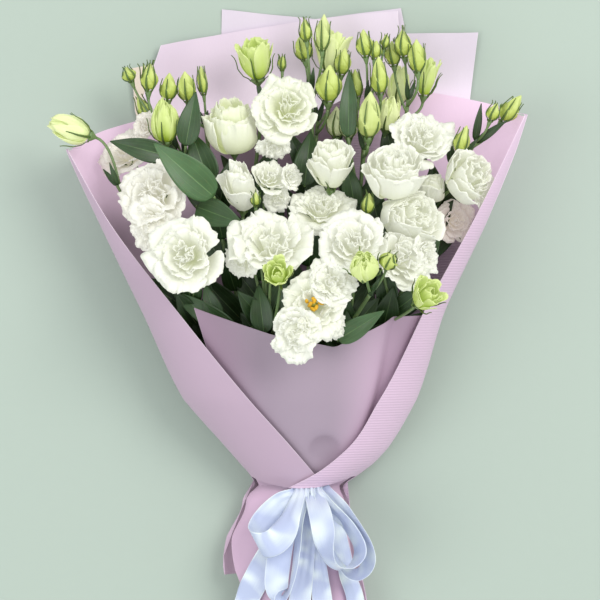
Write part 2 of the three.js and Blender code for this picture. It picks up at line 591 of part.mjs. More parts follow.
// Section of a whorl of petals, as shares of the bloom's radius and depth.
function outerSection(openness) {
  return {
    r: [0.06, 0.62 + 0.1 * openness, 0.8 - 0.05 * openness, 0.86 + 0.14 * openness],
    z: [0.04, 0.04, 0.75 - 0.15 * openness, 1 - 0.28 * openness],
  };
}
function innerSection(openness) {
  return {
    r: [0.05, 0.42, 0.52, 0.44 + 0.16 * openness],
    z: [0.1, 0.12, 0.7, 1 - 0.1 * openness],
  };
}

const ROOT_T = 0.1;           // a petal starts this far along its section, inside the core
const RUFFLE = 0.05;
const PETAL_SHARE = 0.93;     // share of its whorl's turn that a petal spans, side by side with the next

function petal(bloom, section, middleAngle, halfAngle, columns, rows, phase) {
  const turn = new THREE.Quaternion().setFromUnitVectors(vec(0, 0, 1), bloom.axis);
  const surface = (s, t) => {
    const across = 2 * s - 1;
    const rim = 1 - 0.1 * across ** 2;
    const way = lerp(ROOT_T, rim, t);
    const angle = middleAngle + across * halfAngle * lerp(0.75, 1, way);
    const wave = RUFFLE * way ** 3 * Math.sin(4.2 * across + phase);
    const radius = bloom.radius * (bezier(...section.r, way) + wave * 0.6);
    const height = bloom.depth * bezier(...section.z, way) + bloom.radius * wave;
    const point = vec(radius * Math.cos(angle), radius * Math.sin(angle), height);
    point.applyQuaternion(turn).add(bloom.foot).addScaledVector(bloom.axis, SEAT);
    return pressed(point, bloom);
  };
  return blade(columns, rows, surface, PETAL);
}

const CORE = [[0, 0], [0.34, 0.01], [0.44, 0.34], [0, 0.76]];
const CORE_SIDES = 5;
const OPEN_CORE = [[0, 0], [0.34, 0.01], [0.38, 0.34], [0, 0.34]];
const STAMEN_BLOOM = 'bloom_12';

function bloomGeometry(bloom) {
  const shape = bloom.name === STAMEN_BLOOM ? OPEN_CORE : CORE;
  const profile = shape.map(([r, z]) => [r * bloom.radius, z * bloom.depth]);
  const seat = bloom.foot.clone().addScaledVector(bloom.axis, SEAT);
  const pieces = [placed(turned(profile, CORE_SIDES), seat, bloom.axis, 0.2)];
  const whorls = [
    [outerSection(bloom.openness), bloom.outer, 2, 2, 0.3],
    [innerSection(bloom.openness), bloom.inner, 2, 1, 0.9],
  ];
  for (const [section, count, columns, rows, start] of whorls) {
    const halfAngle = (Math.PI / count) * PETAL_SHARE;
    for (let i = 0; i < count; i += 1) {
      const middle = start + (2 * Math.PI * i) / count;
      pieces.push(petal(bloom, section, middle, halfAngle, columns, rows, 1.7 * i));
    }
  }
  return fused(pieces);
}

blooms.forEach((bloom) => add(bloom.name, bloomGeometry(bloom), 'petal'));

// The stamens of the widest bloom, round its pistil.
const STAMENS = 4;
const openBloom = blooms.find((bloom) => bloom.name === STAMEN_BLOOM);
function stamens() {
  const length = 0.42 * openBloom.depth;
  const spread = 0.16 * openBloom.radius;
  const pieces = [turned([[0, 0], [3.4, 0], [3.4, 3], [1.6, length], [0, length]], 6)];
  for (let i = 0; i < STAMENS; i += 1) {
    const angle = (2 * Math.PI * i) / STAMENS;
    const tip = vec(spread * Math.cos(angle), spread * Math.sin(angle), length);
    const anther = new THREE.OctahedronGeometry(1.9, 0).translate(...tip);
    pieces.push(swept([[vec(0, 0, 1.5), 0.8], [tip, 0.8]], 3), anther);
  }
  const seat = openBloom.foot.clone().addScaledVector(openBloom.axis, 0.34 * openBloom.depth + 2 * SEAT);
  return placed(fused(pieces), seat, openBloom.axis);
}
add('stamens', stamens(), 'stamen');

// ---------------------------------------------------------------- buds
const OPEN_BUD = [[0, 0], [0.5, 0.02], [0.95, 0.3], [0.88, 0.62], [1, 1], [0.6, 0.9], [0, 0.82]];
const SHUT_BUD = [[0, 0], [0.75, 0.1], [1, 0.42], [0.6, 0.78], [0, 1]];
const BUD_TWIST = 0.5;

function budGeometry(length, width, profile, sides) {
  const body = turned(profile.map(([r, z]) => [(r * width) / 2, z * length]), sides);
  const place = body.getAttribute('position');
  for (let i = 0; i < place.count; i += 1) {
    const [x, y, z] = [place.getX(i), place.getY(i), place.getZ(i)];
    const turn = (BUD_TWIST * z) / length;
    place.setX(i, x * Math.cos(turn) - y * Math.sin(turn));
    place.setY(i, x * Math.sin(turn) + y * Math.cos(turn));
  }
  return body;
}

const buds = BUDS.map(([middle, length, width, way, fork, kind], i) => {
  const axis = unit(way);
  const foot = at(middle).addScaledVector(axis, -length / 2);
  return { name: `bud_${String(i + 1).padStart(2, '0')}`, length, width, axis, foot, fork, kind };
});

for (const bud of buds.filter(({ kind }) => kind !== 'small')) {
  const seat = bud.foot.clone().addScaledVector(bud.axis, SEAT);
  const geometry = bud.kind === 'open'
    ? budGeometry(bud.length, bud.width, OPEN_BUD, 8)
    : budGeometry(bud.length, bud.width, SHUT_BUD, 7);
  add(bud.name, placed(geometry, seat, bud.axis), bud.kind === 'open' ? 'cream' : 'bud');
}

// ---------------------------------------------------------------- sprays
const BEND_SHARE = 0.4;       // a stalk turns into its flower's axis over this share of its length,
const LONGEST_BEND = 36;      // counted up to this length
const SEPAL_R = 0.9;
const SEPALS = 2;

// A stalk from its fork that comes up under a flower along the flower's axis, as stations.
function stalk(start, foot, axis, radius) {
  const end = foot.clone().addScaledVector(axis, -CUP);
  const reach = BEND_SHARE * Math.min(start.distanceTo(end), LONGEST_BEND);
  const bend = end.clone().addScaledVector(axis, -reach);
  const middle = new THREE.QuadraticBezierCurve3(start, bend, end).getPoint(0.5);
  return [[start, radius], [middle, radius], [end, radius]];
}

// A stalk that ends in the green cup under a flower, the cup's upper face on the flower's foot.
function cupped(start, foot, axis, radius, cupRadius) {
  const waist = foot.clone().addScaledVector(axis, -0.35 * CUP);
  return swept([...stalk(start, foot, axis, radius), [waist, cupRadius], [foot, cupRadius]], 4);
}

// A stalk with a closed bud and its pointed sepals.
function smallBud(start, { foot, axis, length, width }) {
  const along = (share) => foot.clone().addScaledVector(axis, share * length);
  const body = swept([
    ...stalk(start, foot, axis, PEDICEL_R),
    [along(0.38), width / 2], [along(0.76), 0.3 * width], [along(1), 0],
  ], 4);
  const aside = new THREE.Quaternion().setFromUnitVectors(vec(0, 0, 1), axis);
  const sepals = [];
  for (let i = 0; i < SEPALS; i += 1) {
    const angle = (2 * Math.PI * i) / SEPALS;
    const out = vec(Math.cos(angle), Math.sin(angle), 0).applyQuaternion(aside);
    const tip = along(0.62).addScaledVector(out, 0.62 * width);
    sepals.push(swept([[along(-0.05), SEPAL_R], [tip, 0]], 3));
  }
  return [body, ...sepals];
}

// A leaf: a narrow stalk from the root, then a blade folded a little along its midrib.
const LEAF_NECK = 0.25;
const LEAF_FOLD = 0.14;
const LEAF_ARCH = 5;
const LEAF_STALK = 1.5;
function leafGeometry([root, base, tip, width]) {
  const crest = at(base).lerp(at(tip), 0.5).add(vec(0, 0, LEAF_ARCH));
  const rib = new THREE.QuadraticBezierCurve3(at(base), crest, at(tip));
  const side = at(tip).sub(at(base)).normalize().cross(vec(0, 0, 1)).normalize();
  const surface = (s, t) => {
    const share = (t - LEAF_NECK) / (1 - LEAF_NECK);
    const point = share < 0 ? at(root).lerp(at(base), t / LEAF_NECK) : rib.getPoint(share);
    const bulge = share < 0 ? 0 : 0.45 * width * Math.sin(Math.PI * share ** 0.8);
    const half = LEAF_STALK * (1 - 0.7 * Math.max(share, 0)) + bulge;
    const across = 2 * s - 1;
    return point.addScaledVector(side, across * half).add(vec(0, 0, LEAF_FOLD * half * Math.abs(across)));
  };
  return blade(2, 3, surface, LEAF);
}

// Where a fork's parent stands: the fork that it grows from, or the tie.
function parentOf(fork) {
  return typeof fork.from === 'string' ? at(FORKS[fork.from].at) : vec(fork.from[0], 0, fork.from[1]);
}

// What grows from a fork leaves it one after the other, each a step further down its stem.
const LEAVE_STEP = 6;
function sprayGeometry(number) {
  const isMine = ({ fork }) => new RegExp(`^s${number}[a-z]*$`).test(fork);
  const taken = {};
  const startOn = (name) => {
    taken[name] = (taken[name] ?? -1) + 1;
    const down = parentOf(FORKS[name]).sub(at(FORKS[name].at)).normalize();
    return at(FORKS[name].at).addScaledVector(down, LEAVE_STEP * taken[name]);
  };
  const pieces = [];
  for (const [name, fork] of Object.entries(FORKS)) {
    if (!isMine({ fork: name })) continue;
    if (typeof fork.from === 'string') {
      pieces.push(swept([[startOn(fork.from), TWIG_R], [at(fork.at), TWIG_R]], 5));
    } else {
      const [x, z] = fork.from;
      const cutEnd = vec(x * END_SPREAD, STEM_END_Y, z);
      pieces.push(swept([[cutEnd, STEM_R], [vec(x, 0, z), STEM_R], [at(fork.at), STEM_R]], 6));
    }
  }
  for (const bloom of blooms.filter(isMine)) {
    pieces.push(cupped(startOn(bloom.fork), bloom.foot, bloom.axis, PEDICEL_R, CALYX_R));
  }
  for (const bud of buds.filter(isMine)) {
    const start = startOn(bud.fork);
    if (bud.kind === 'small') pieces.push(...smallBud(start, bud));
    else pieces.push(cupped(start, bud.foot, bud.axis, PEDICEL_R, 0.3 * bud.width));
  }
  pieces.push(...LEAVES.filter(([, , , , fork]) => isMine({ fork })).map(leafGeometry));
  return fused(pieces);
}

for (let number = 1; number <= 10; number += 1) {
  add(`spray_${String(number).padStart(2, '0')}`, sprayGeometry(number), 'green');
}

export default bouquet;
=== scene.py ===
"""A hand-tied bouquet of white double lisianthus, lying in its paper wrap with a satin bow."""

from collections import namedtuple
from functools import partial

import bpy
import numpy as np
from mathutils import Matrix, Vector


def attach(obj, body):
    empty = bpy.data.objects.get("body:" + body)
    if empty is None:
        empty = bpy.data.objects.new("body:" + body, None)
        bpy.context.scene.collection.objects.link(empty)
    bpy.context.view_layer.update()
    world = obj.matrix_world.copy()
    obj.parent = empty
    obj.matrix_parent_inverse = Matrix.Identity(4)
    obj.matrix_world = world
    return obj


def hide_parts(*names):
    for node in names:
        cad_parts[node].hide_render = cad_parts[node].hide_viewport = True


bl_info = {
    "name": "Lisianthus Bouquet",
    "version": (1, 0, 0),
    "blender": (4, 5, 0),
    "location": "View3D > Sidebar > Bouquet",
    "description": "Petals, buds, leaves, paper and ribbon of a wrapped lisianthus bouquet",
    "category": "Add Mesh",
}

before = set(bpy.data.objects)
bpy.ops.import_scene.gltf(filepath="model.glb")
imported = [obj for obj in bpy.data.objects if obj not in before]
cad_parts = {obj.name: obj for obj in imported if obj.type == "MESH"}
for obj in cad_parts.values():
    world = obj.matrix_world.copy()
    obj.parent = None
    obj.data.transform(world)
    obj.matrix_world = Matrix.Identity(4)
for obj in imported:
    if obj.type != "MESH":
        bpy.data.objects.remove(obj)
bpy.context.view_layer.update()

# ---------------------------------------------------------------- places and sizes, in millimetres
MM = 0.001
LAYER = 1.3  # step from one nested sheet of paper to the next
MIDDLE_LAYER = 1.5  # between the two flaps, where the wrap has the widths of its sections
LOWEST_LAYER = 7  # the sheet that lies on the table
PAPER_HALF = 0.4
FLAT_SHARE = 0.12  # share of the underside that the table presses flat
STEM_RADIUS = 2.6
TWIG_RADIUS = 1.8
STALK_RADIUS = 1.3
CALYX_LENGTH = 7
CALYX_RADIUS = 4.2
SEAT = 0.4  # gap between a calyx and what it carries
END_SPREAD = 1.15  # how far the cut ends spread, against the tie
STEM_END_Y = -166
RIBBON_WIDTH = 24
SPRAYS = range(1, 11)
BLOOM_SEED, BUD_SEED, SPRAY_SEED, STAMEN_SEED = 100, 300, 500, 7
MERGE_DISTANCE = 0.00001  # in metres
CREASE_ANGLE = 0.7  # in radians: paper that turns more than this shows an edge

# Cross-sections of the wrap: y, left side, right side, height of the widest point, height of the
# crown, and how far the tie lifts the sheets off the table.
SECTIONS = np.array([
    [-150, -64, 62, 30, 54, 0], [-97, -65, 58, 30, 54, 0], [-72, -72, 52, 29, 53, 0],
    [-43, -69, 46, 28, 52, 0], [-9, -48, 41, 25, 49, 1.4], [4, -38, 37, 24, 48, 1.4],
    [14, -47, 51, 28, 56, 1], [24, -57, 64, 30, 63, 0.5], [38, -69, 77, 34, 72, 0],
    [83, -108, 103, 46, 98, 0], [162, -144, 128, 60, 126, 0], [241, -181, 164, 72, 140, 0],
    [307, -211, 190, 78, 150, 0], [336, -220, 199, 80, 150, 0], [446, -240, 226, 88, 160, 0],
], float)

# Free edges of the two front flaps, as y and x, and the sheets' upper borders, as angle from the
# bottom and y.
LEFT_EDGE = [[3, 21], [16, 11], [38, -7], [83, -46], [162, -109], [241, -170], [307, -209]]
RIGHT_EDGE = [[3, -12], [16, 11], [38, 38], [83, 67], [162, 108], [241, 152], [336, 197]]
LEFT_TOP = [[-20, 345], [22, 345], [41, 338], [56, 327], [80, 307], [220, 307]]
RIGHT_TOP = [[-20, 340], [4, 340], [18, 368], [34, 365], [48, 357], [57, 352], [70, 343], [80, 338],
             [220, 336]]
FRONT_TOP = [[-42, 166], [-23, 152], [-9, 142], [17, 131], [29, 143], [45, 158], [78, 160]]

# Stems stand at the tie in two staggered rows. Forks: where each is, and what it grows from.
SLOT = 6
ROW_Z = 13.4
ROW_STEP = 0.87 * SLOT


def slot(column, row):
    return (SLOT * column, ROW_Z + row * ROW_STEP)


FORKS = {
    "s1": ((-80, 259, 46), slot(-2.5, 0)),
    "s1a": ((-114, 308, 55), "s1"),
    "s1b": ((-87, 328, 50), "s1"),
    "s1c": ((-105, 299, 60), "s1"),
    "s2": ((-45, 272, 44), slot(-1.5, 0)),
    "s2a": ((-35, 352, 50), "s2"),
    "s3": ((10, 290, 46), slot(-0.5, 0)),
    "s3a": ((8, 361, 50), "s3"),
    "s3b": ((14, 335, 42), "s3"),
    "s4": ((52, 263, 50), slot(0.5, 0)),
    "s4a": ((58, 351, 54), "s4"),
    "s4c": ((56, 308, 60), "s4"),
    "s5": ((89, 300, 42), slot(1.5, 0)),
    "s5a": ((96, 354, 48), "s5"),
    "s6": ((125, 263, 45), slot(2.5, 0)),
    "s6a": ((156, 315, 62), "s6"),
    "s6b": ((135, 294, 58), "s6"),
    "s7": ((-105, 171, 78), slot(-2, 1)),
    "s7a": ((-165, 275, 78), "s7"),
    "s8": ((-32, 157, 84), slot(-1, 1)),
    "s9": ((43, 151, 84), slot(1, 1)),
    "s9a": ((59, 178, 142), "s9"),
    "s10": ((81, 167, 80), slot(2, 1)),
}

# Blooms, numbered from 1: middle of the face, radius, the way it looks, how far it has opened, what
# it grows from, how green it still is, how ruffled, and its form.
BLOOM_TABLE = [
    ((-63, 338, 75), 23.5, (-0.05, 0.88, 0.48), 0.15, "s2", 0.42, 1.1, "rose"),
    ((-14, 345, 88), 31, (0.05, 0.35, 0.93), 0.6, "s2", 0.22, 1.0, "open"),
    ((-160, 306, 62), 24, (-0.4, 0.5, 0.75), 0.9, "s7a", 0.02, 0.7, "open"),
    ((-134, 267, 100), 35, (-0.35, 0.3, 0.9), 0.9, "s7", 0.0, 1.2, "open"),
    ((-53, 282, 97), 20.5, (0, 0.88, 0.48), 0.4, "s8", 0.05, 1.0, "goblet"),
    ((-29, 282, 92), 20, (0.2, 0.6, 0.76), 0.8, "s8", 0.05, 1.1, "open"),
    ((-101, 212, 142), 35, (-0.2, 0.15, 0.96), 0.8, "s7", 0.06, 1.1, "open"),
    ((-28, 224, 142), 38, (0, 0.68, 0.73), 1, "s8", 0.05, 1.2, "open"),
    ((17, 256, 96), 28.5, (0, 0.72, 0.69), 0.8, "s9", 0.08, 1.1, "open"),
    ((44, 223, 146), 33, (-0.1, 0.5, 0.85), 0.8, "s9", 0.0, 0.8, "open"),
    ((88, 210, 130), 31, (0.45, 0.3, 0.84), 0.8, "s10", 0.0, 1.1, "open"),
    ((10, 169, 160), 30, (-0.05, 0.12, 0.99), 1, "s9", 0.12, 1.3, "open"),
    ((25, 301, 106), 20.5, (0.0, 0.88, 0.48), 0.3, "s3", 0.12, 0.8, "goblet"),
    ((107, 318, 82), 31, (0.2, 0.55, 0.8), 0.8, "s5", 0.03, 1.1, "open"),
    ((81, 290, 122), 27, (0.05, 0.84, 0.54), 0.3, "s10", 0.06, 1.0, "cup"),
    ((152, 284, 90), 26, (0.6, 0.4, 0.68), 0.6, "s6", 0.06, 1.0, "cup"),
    ((116, 279, 76), 17, (0.1, 0.88, 0.47), 0.2, "s6", 0.12, 0.6, "cup"),
    ((98, 249, 114), 30, (0.6, 0.4, 0.7), 0.5, "s10", 0.08, 1.0, "cup"),
    ((137, 243, 62), 20, (0.3, -0.1, 0.9), 0.8, "s6", 0.0, 1.0, "open"),
]

# Loose tufts of petals that hang from a bloom: its number, middle, radius and face.
TUFTS = [
    (2, (-25, 309, 84), 15, (0.0, -0.7, 0.7)),
    (3, (-140, 330, 66), 15, (-0.5, 0.4, 0.75)),
    (4, (-131, 237, 107), 24, (-0.35, -0.25, 0.9)),
    (6, (-10, 283, 92), 12, (0.6, 0.3, 0.7)),
    (6, (-22, 262, 88), 12, (0.1, -0.4, 0.9)),
    (11, (110, 214, 118), 17, (0.8, 0.1, 0.6)),
    (8, (-54, 205, 128), 15, (-0.5, -0.5, 0.7)),
    (12, (25, 189, 158), 22, (0.2, 0.35, 0.9)),
    (12, (-5, 145, 159), 25, (-0.15, -0.3, 0.94)),
    (12, (25, 152, 148), 15, (0.4, -0.4, 0.8)),
    (16, (164, 268, 84), 14, (0.7, -0.2, 0.7)),
]

# Blooms that are drawn out to two sides: how much, and to what side in degrees.
OVALS = {4: (0.08, 100), 7: (0.06, 130), 8: (0.1, 0), 11: (0.08, 110), 12: (0.1, 68), 16: (0.06, 60)}
# How much deeper than an open bloom each form is.
DEEPER = {"goblet": 1.85, "cup": 1.2, "rose": 1.62, "open": 1.0}
BLUSH = {3: 0.2, 4: 0.08, 19: 0.35}  # how pink the paper's light makes a bloom

# Buds, numbered from 1: middle, length, width, the way it points, what it grows from, what it is.
BUD_TABLE = [
    ((-207, 325, 85), 36, 27, (-0.93, 0.3, 0.15), "s7a", "open"),
    ((-156, 376, 62), 13, 12, (-0.35, 0.9, 0.2), "s1a", "small"),
    ((-137, 373, 66), 24, 14, (0.05, 1, 0.1), "s1a", "small"),
    ((-142, 375, 52), 20, 7, (-0.1, 1, 0), "s1a", "small"),
    ((-120, 365, 60), 24, 15, (0.05, 1, 0.1), "s1a", "shut"),
    ((-144, 347, 52), 22, 11, (-0.4, 0.9, 0.1), "s1a", "small"),
    ((-123, 332, 78), 36, 27, (-0.05, 0.95, 0.3), "s1c", "open"),
    ((-104, 365, 64), 27, 16, (-0.1, 0.95, 0.3), "s1b", "shut"),
    ((-90, 371, 58), 25, 9, (-0.1, 1, 0.1), "s1b", "small"),
    ((-42, 389, 60), 36, 32, (-0.1, 0.9, 0.35), "s2a", "open"),
    ((-18, 387, 55), 13, 7, (0, 1, 0), "s2a", "small"),
    ((-41, 262, 108), 12, 8, (0, 0.9, 0.4), "s8", "small"),
    ((-21, 195, 173), 22, 24, (-0.1, 0.35, 0.93), "s8", "open"),
    ((53, 202, 178), 26, 27, (-0.1, 0.5, 0.85), "s9a", "open"),
    ((74, 207, 172), 17, 15, (0.15, 0.6, 0.8), "s9a", "small"),
    ((107, 176, 150), 26, 28, (0.45, 0.45, 0.75), "s10", "open"),
    ((3, 416, 60), 19, 11, (-0.1, 1, 0.05), "s3a", "small"),
    ((1, 402, 46), 24, 16, (-0.15, 1, 0), "s3a", "shut"),
    ((19, 414, 60), 32, 14, (0.05, 1, 0.05), "s3a", "shut"),
    ((26, 398, 36), 35, 31, (0.1, 0.95, 0.2), "s3b", "open"),
    ((37, 388, 54), 24, 14, (0.15, 1, 0.1), "s3b", "small"),
    ((24, 367, 70), 33, 22, (0.05, 1, 0.15), "s3b", "shut"),
    ((56, 404, 62), 24, 14, (-0.1, 1, 0.1), "s4a", "small"),
    ((66, 398, 62), 16, 11, (0.1, 1, 0.1), "s4a", "small"),
    ((75, 406, 58), 13, 7, (0.2, 1, 0), "s4a", "small"),
    ((69, 374, 75), 33, 15, (-0.05, 1, 0.1), "s4c", "shut"),
    ((49, 369, 48), 25, 11, (-0.1, 1, 0), "s4a", "small"),
    ((60, 338, 84), 41, 21, (0.05, 1, 0.1), "s4c", "shut"),
    ((91, 404, 60), 24, 15, (-0.1, 1, 0.1), "s5a", "small"),
    ((103, 392, 69), 29, 16, (-0.05, 1, 0.15), "s5a", "shut"),
    ((82, 396, 48), 22, 14, (-0.1, 1, 0), "s5a", "small"),
    ((113, 375, 43), 34, 20, (0.15, 0.95, 0.15), "s5a", "open"),
    ((143, 316, 80), 26, 13, (0.3, 0.95, 0.1), "s6b", "small"),
    ((171, 341, 78), 16, 11, (0.35, 0.9, 0.2), "s6a", "small"),
    ((188, 345, 66), 28, 15, (0.6, 0.8, 0.1), "s6a", "shut"),
    ((58, 258, 112), 18, 11, (0.1, 0.9, 0.3), "s4", "small"),
    ((88, 368, 33), 33, 22, (0.1, 0.9, 0.25), "s5", "open"),
    ((78, 341, 55), 31, 23, (0.15, 0.85, 0.5), "s5", "open"),
    ((42, 332, 64), 27, 16, (0, 0.95, 0.2), "s4", "shut"),
    ((31, 334, 50), 27, 17, (0, 0.95, 0.1), "s3", "shut"),
]

# Leaves: base of the blade, tip, width, the fork that its stalk grows from, how waxy it is.
LEAF_TABLE = [
    ((-104, 310, 82), (-95, 359, 80), 20, "s1c", 0.2),
    ((-119, 301, 84), (-171, 314, 88), 20, "s1c", 0.1),
    ((-78, 264, 104), (-130, 310, 122), 30, "s1", 0.62),
    ((-82, 276, 78), (-100, 325, 70), 25, "s1", 0.15),
    ((-94, 256, 84), (-53, 240, 104), 25, "s1", 0.3),
    ((41, 318, 78), (42, 379, 74), 16, "s4", 0.25),
    ((2, 275, 74), (8, 326, 62), 23, "s3", 0.1),
    ((47, 257, 72), (40, 294, 78), 18, "s4", 0.2),
    ((-58, 142, 82), (-119, 182, 84), 20, "s8", 0.3),
    ((-75, 152, 84), (-87, 187, 88), 16, "s7", 0.2),
    ((-34, 143, 98), (-39, 187, 94), 20, "s8", 0.2),
    ((31, 138, 130), (70, 163, 150), 18, "s9", 0.4),
    ((105, 205, 94), (123, 230, 86), 14, "s10", 0.2),
]

# Loops of satin, as stations: middle, the way its width points, and width.
LOOP_RUNS = {
    "ribbon_loop_left": [
        ((-2, 4, 47.2), (1, 0, 0), 10), ((-7, -2.5, 54), (0.85, -0.5, 0), 12),
        ((-19, -8.6, 57.5), (0.73, -0.68, -0.1), 17),
        ((-29, -19, 58), (0.68, -0.73, -0.1), 21), ((-37, -30, 61), (0.6, -0.8, -0.1), 23),
        ((-41, -39, 68), (0.5, -0.87, -0.1), 24), ((-40, -44, 77), (0.48, -0.88, 0), 24),
        ((-33, -45.5, 84), (0.55, -0.84, 0), 24), ((-23.6, -41.6, 87), (0.72, -0.68, 0), 24),
        ((-16, -33, 84), (0.97, -0.15, 0), 23), ((-10, -20, 74), (0.95, 0.25, 0), 18),
        ((-3, -3, 57), (1, 0.1, 0), 12), ((-1, 4, 47.4), (1, 0, 0), 11),
    ],
    "ribbon_loop_lower": [
        ((2, 4, 47.2), (1, 0, 0), 9), ((0, -3, 53.5), (1, 0, 0), 9), ((-9, -22, 61), (0.95, -0.2, 0.1), 16),
        ((-18, -44, 65), (1, -0.12, 0.1), 21), ((-21.8, -66, 67), (1, 0, 0.1), 22),
        ((-23, -82, 70), (0.95, -0.1, 0.3), 22), ((-19, -93, 74), (0.5, -0.3, 0.8), 24),
        ((-12, -88, 77), (0.15, 0.1, 1), 24), ((-7.4, -71.5, 75), (0.2, 0.05, 0.97), 22),
        ((-4.7, -52, 71), (0.3, 0, 0.95), 20), ((-2, -25, 66), (0.5, 0, 0.86), 14),
        ((2, -3, 55), (1, 0, 0.3), 9), ((3, 4, 47.4), (1, 0, 0), 9),
    ],
    "ribbon_loop_right": [
        ((16, 4, 47), (1, 0, 0), 17), ((20, -3, 54.5), (0.95, 0.32, 0.2), 18),
        ((33, -16, 69), (0.7, 0.45, 0.5), 21), ((47, -29, 78), (0.45, 0.2, 0.87), 24),
        ((56.5, -44, 79), (0.45, 0.05, 0.9), 24), ((60, -57, 75), (0.42, -0.1, 0.9), 24),
        ((57, -67, 71), (0.3, -0.3, 0.9), 24), ((49, -73, 68), (0.1, -0.35, 0.93), 24),
        ((39, -70, 66), (0, -0.3, 0.95), 22), ((29, -56, 64), (-0.1, -0.1, 0.98), 20),
        ((19, -32, 62), (0, 0, 1), 15), ((9, -3, 54), (0.6, 0, 0.8), 9), ((8, 4, 47.4), (1, 0, 0), 9),
    ],
    "ribbon_loop_inner": [
        ((8, 4, 47.2), (1, 0, 0), 15), ((10, -2.5, 56), (1, 0.1, 0), 16), ((15, -15, 73), (1, 0.1, 0.15), 20),
        ((18.5, -31, 84), (1, 0, 0.3), 21), ((20.4, -47, 88), (0.65, 0, 0.75), 23),
        ((25, -60.7, 87), (0.3, 0.2, 0.93), 24), ((34, -67, 84), (0.1, 0.2, 0.97), 24),
        ((44, -65, 81), (0.2, 0, 0.97), 24), ((51, -56, 79), (0.4, 0, 0.9), 24),
        ((51, -46, 78), (0.45, 0.1, 0.88), 24), ((44, -33, 75), (0.42, 0.3, 0.86), 22),
        ((35, -22, 70), (0.4, 0.35, 0.85), 19), ((25, -12, 64), (0.5, 0.45, 0.7), 14),
        ((15, -2, 54), (0.9, 0.3, 0.3), 10), ((13, 4, 47.4), (1, 0, 0), 10),
    ],
}
# Tails that lie on the front of the skirt, as x, y, width and how far they stand off it.
TAIL_RUNS = {
    "ribbon_tail_left": [(-2, 4, 9, -0.4), (-6, -6, 10, 4), (-15, -28, 16, 5), (-28, -54, 22, 4),
                         (-42, -80, 24, 2), (-50, -98, 24, 1.5), (-57, -124, 24, 1)],
    "ribbon_tail_middle": [(1, 4, 10, -0.4), (0, -6, 11, 5), (2, -24, 13, 9), (6, -40, 14, 12),
                           (4.5, -54, 14, 11), (3, -68, 15, 9), (-2, -97, 20, 5), (-10, -140, 24, 2)],
    "ribbon_tail_centre": [(4, 4, 9, -0.4), (5, -6, 10, 4.5), (8, -24, 12, 6), (12, -43, 13, 8),
                           (14, -61, 14, 7), (16, -79, 16, 5), (18, -97, 18, 4), (21, -144, 24, 2)],
    "ribbon_tail_right": [(12, 4, 12, -0.4), (18, -6, 14, 2.5), (29, -28, 17, 2.5), (36, -52, 18, 2),
                          (41, -76, 19, 2), (48, -98, 20, 1.5), (50, -132, 24, 1)],
}


# ---------------------------------------------------------------- what a user would change
def tint(code):
    """An sRGB hex colour as linear numbers."""
    shares = [int(code[i:i + 2], 16) / 255 for i in (0, 2, 4)]
    return tuple(v / 12.92 if v <= 0.04045 else ((v + 0.055) / 1.055) ** 2.4 for v in shares)


def colour_property(name, description, code):
    return bpy.props.FloatVectorProperty(
        name=name, description=description, default=tint(code), subtype="COLOR", min=0, max=1)


def number_property(name, description, value, low, **more):
    return bpy.props.FloatProperty(name=name, description=description, default=value, min=low, **more)


def thickness_property(name, description, value):
    return number_property(name, description, value, 0.0001, max=0.01, unit="LENGTH")


class BouquetPaper(bpy.types.PropertyGroup):
    """Wrapping sheets."""

    thickness: thickness_property("Thickness", "Thickness of a sheet", 0.0005)
    left: colour_property("Left flap", "Front flap on the left", "aa94a5")
    right: colour_property("Right flap", "Ribbed front flap on the right", "c4abbf")
    # The front panel's colour is the flaps' pink paper darkened, as painted shade.
    front: colour_property("Front panel", "Sheet between the flaps", "988896")
    middle: colour_property("Middle sheet", "Sheet right behind the flowers", "c4b8c4")
    cream: colour_property("Cream sheet", "Strip that shows on the left", "cfc1b2")
    back: colour_property("Back sheets", "Three sheets that stand up at the top", "cabfcb")


class BouquetRibbon(bpy.types.PropertyGroup):
    """Satin ribbon."""

    thickness: thickness_property("Thickness", "Thickness of the satin", 0.00035)
    # Painted highlight: the satin colour shows in the painted glints, the shade colour between them.
    satin: colour_property("Satin", "Colour of the ribbon in its glints", "dbe5e1")
    shade: colour_property("Shade", "Colour of the ribbon between its glints", "a7b1cb")


class BouquetBlooms(bpy.types.PropertyGroup):
    """Petals and stamens."""

    thickness: thickness_property("Petal thickness", "Thickness of a petal", 0.0004)
    petal: colour_property("Petal", "Colour of an open petal", "cccdc2")
    claw: colour_property("Petal base", "Colour of a petal's foot and of young petals", "bcc583")
    anther: colour_property("Anther", "Colour of the stamens' heads", "dba81c")
    pistil: colour_property("Pistil", "Colour of the pistil", "83801f")


class BouquetGreens(bpy.types.PropertyGroup):
    """Stems, leaves and closed buds."""

    leaf_thickness: thickness_property("Leaf thickness", "Thickness of a leaf", 0.0005)
    leaf: colour_property("Leaf", "Colour of a leaf", "1d3610")
    wax: colour_property("Wax", "Colour of a waxy leaf", "527848")
    stem: colour_property("Stem", "Colour of the stems", "68804e")
    sepal: colour_property("Sepal", "Colour of the sepals", "3f5c22")
    bud: colour_property("Bud", "Colour of a closed bud", "a4b44c")
    bud_cream: colour_property("Opening bud", "Colour of a bud that opens", "ced69e")


class BouquetStage(bpy.types.PropertyGroup):
    """Floor, lights and camera."""

    floor: colour_property("Floor", "Colour of the floor", "a3b0a5")
    key: number_property("Key light", "Power of the main soft light", 45, 0, unit="POWER")
    fill: number_property("Fill light", "Power of the soft light on the left", 22, 0, unit="POWER")
    sky: number_property("Sky", "Strength of the light from all round", 1.0, 0, max=5)
    height: number_property("Camera height", "Height of the camera over the floor", 2.4, 1, unit="LENGTH")


SETTINGS = {
    "bouquet_paper": BouquetPaper,
    "bouquet_ribbon": BouquetRibbon,
    "bouquet_blooms": BouquetBlooms,
    "bouquet_greens": BouquetGreens,
    "bouquet_stage": BouquetStage,
}


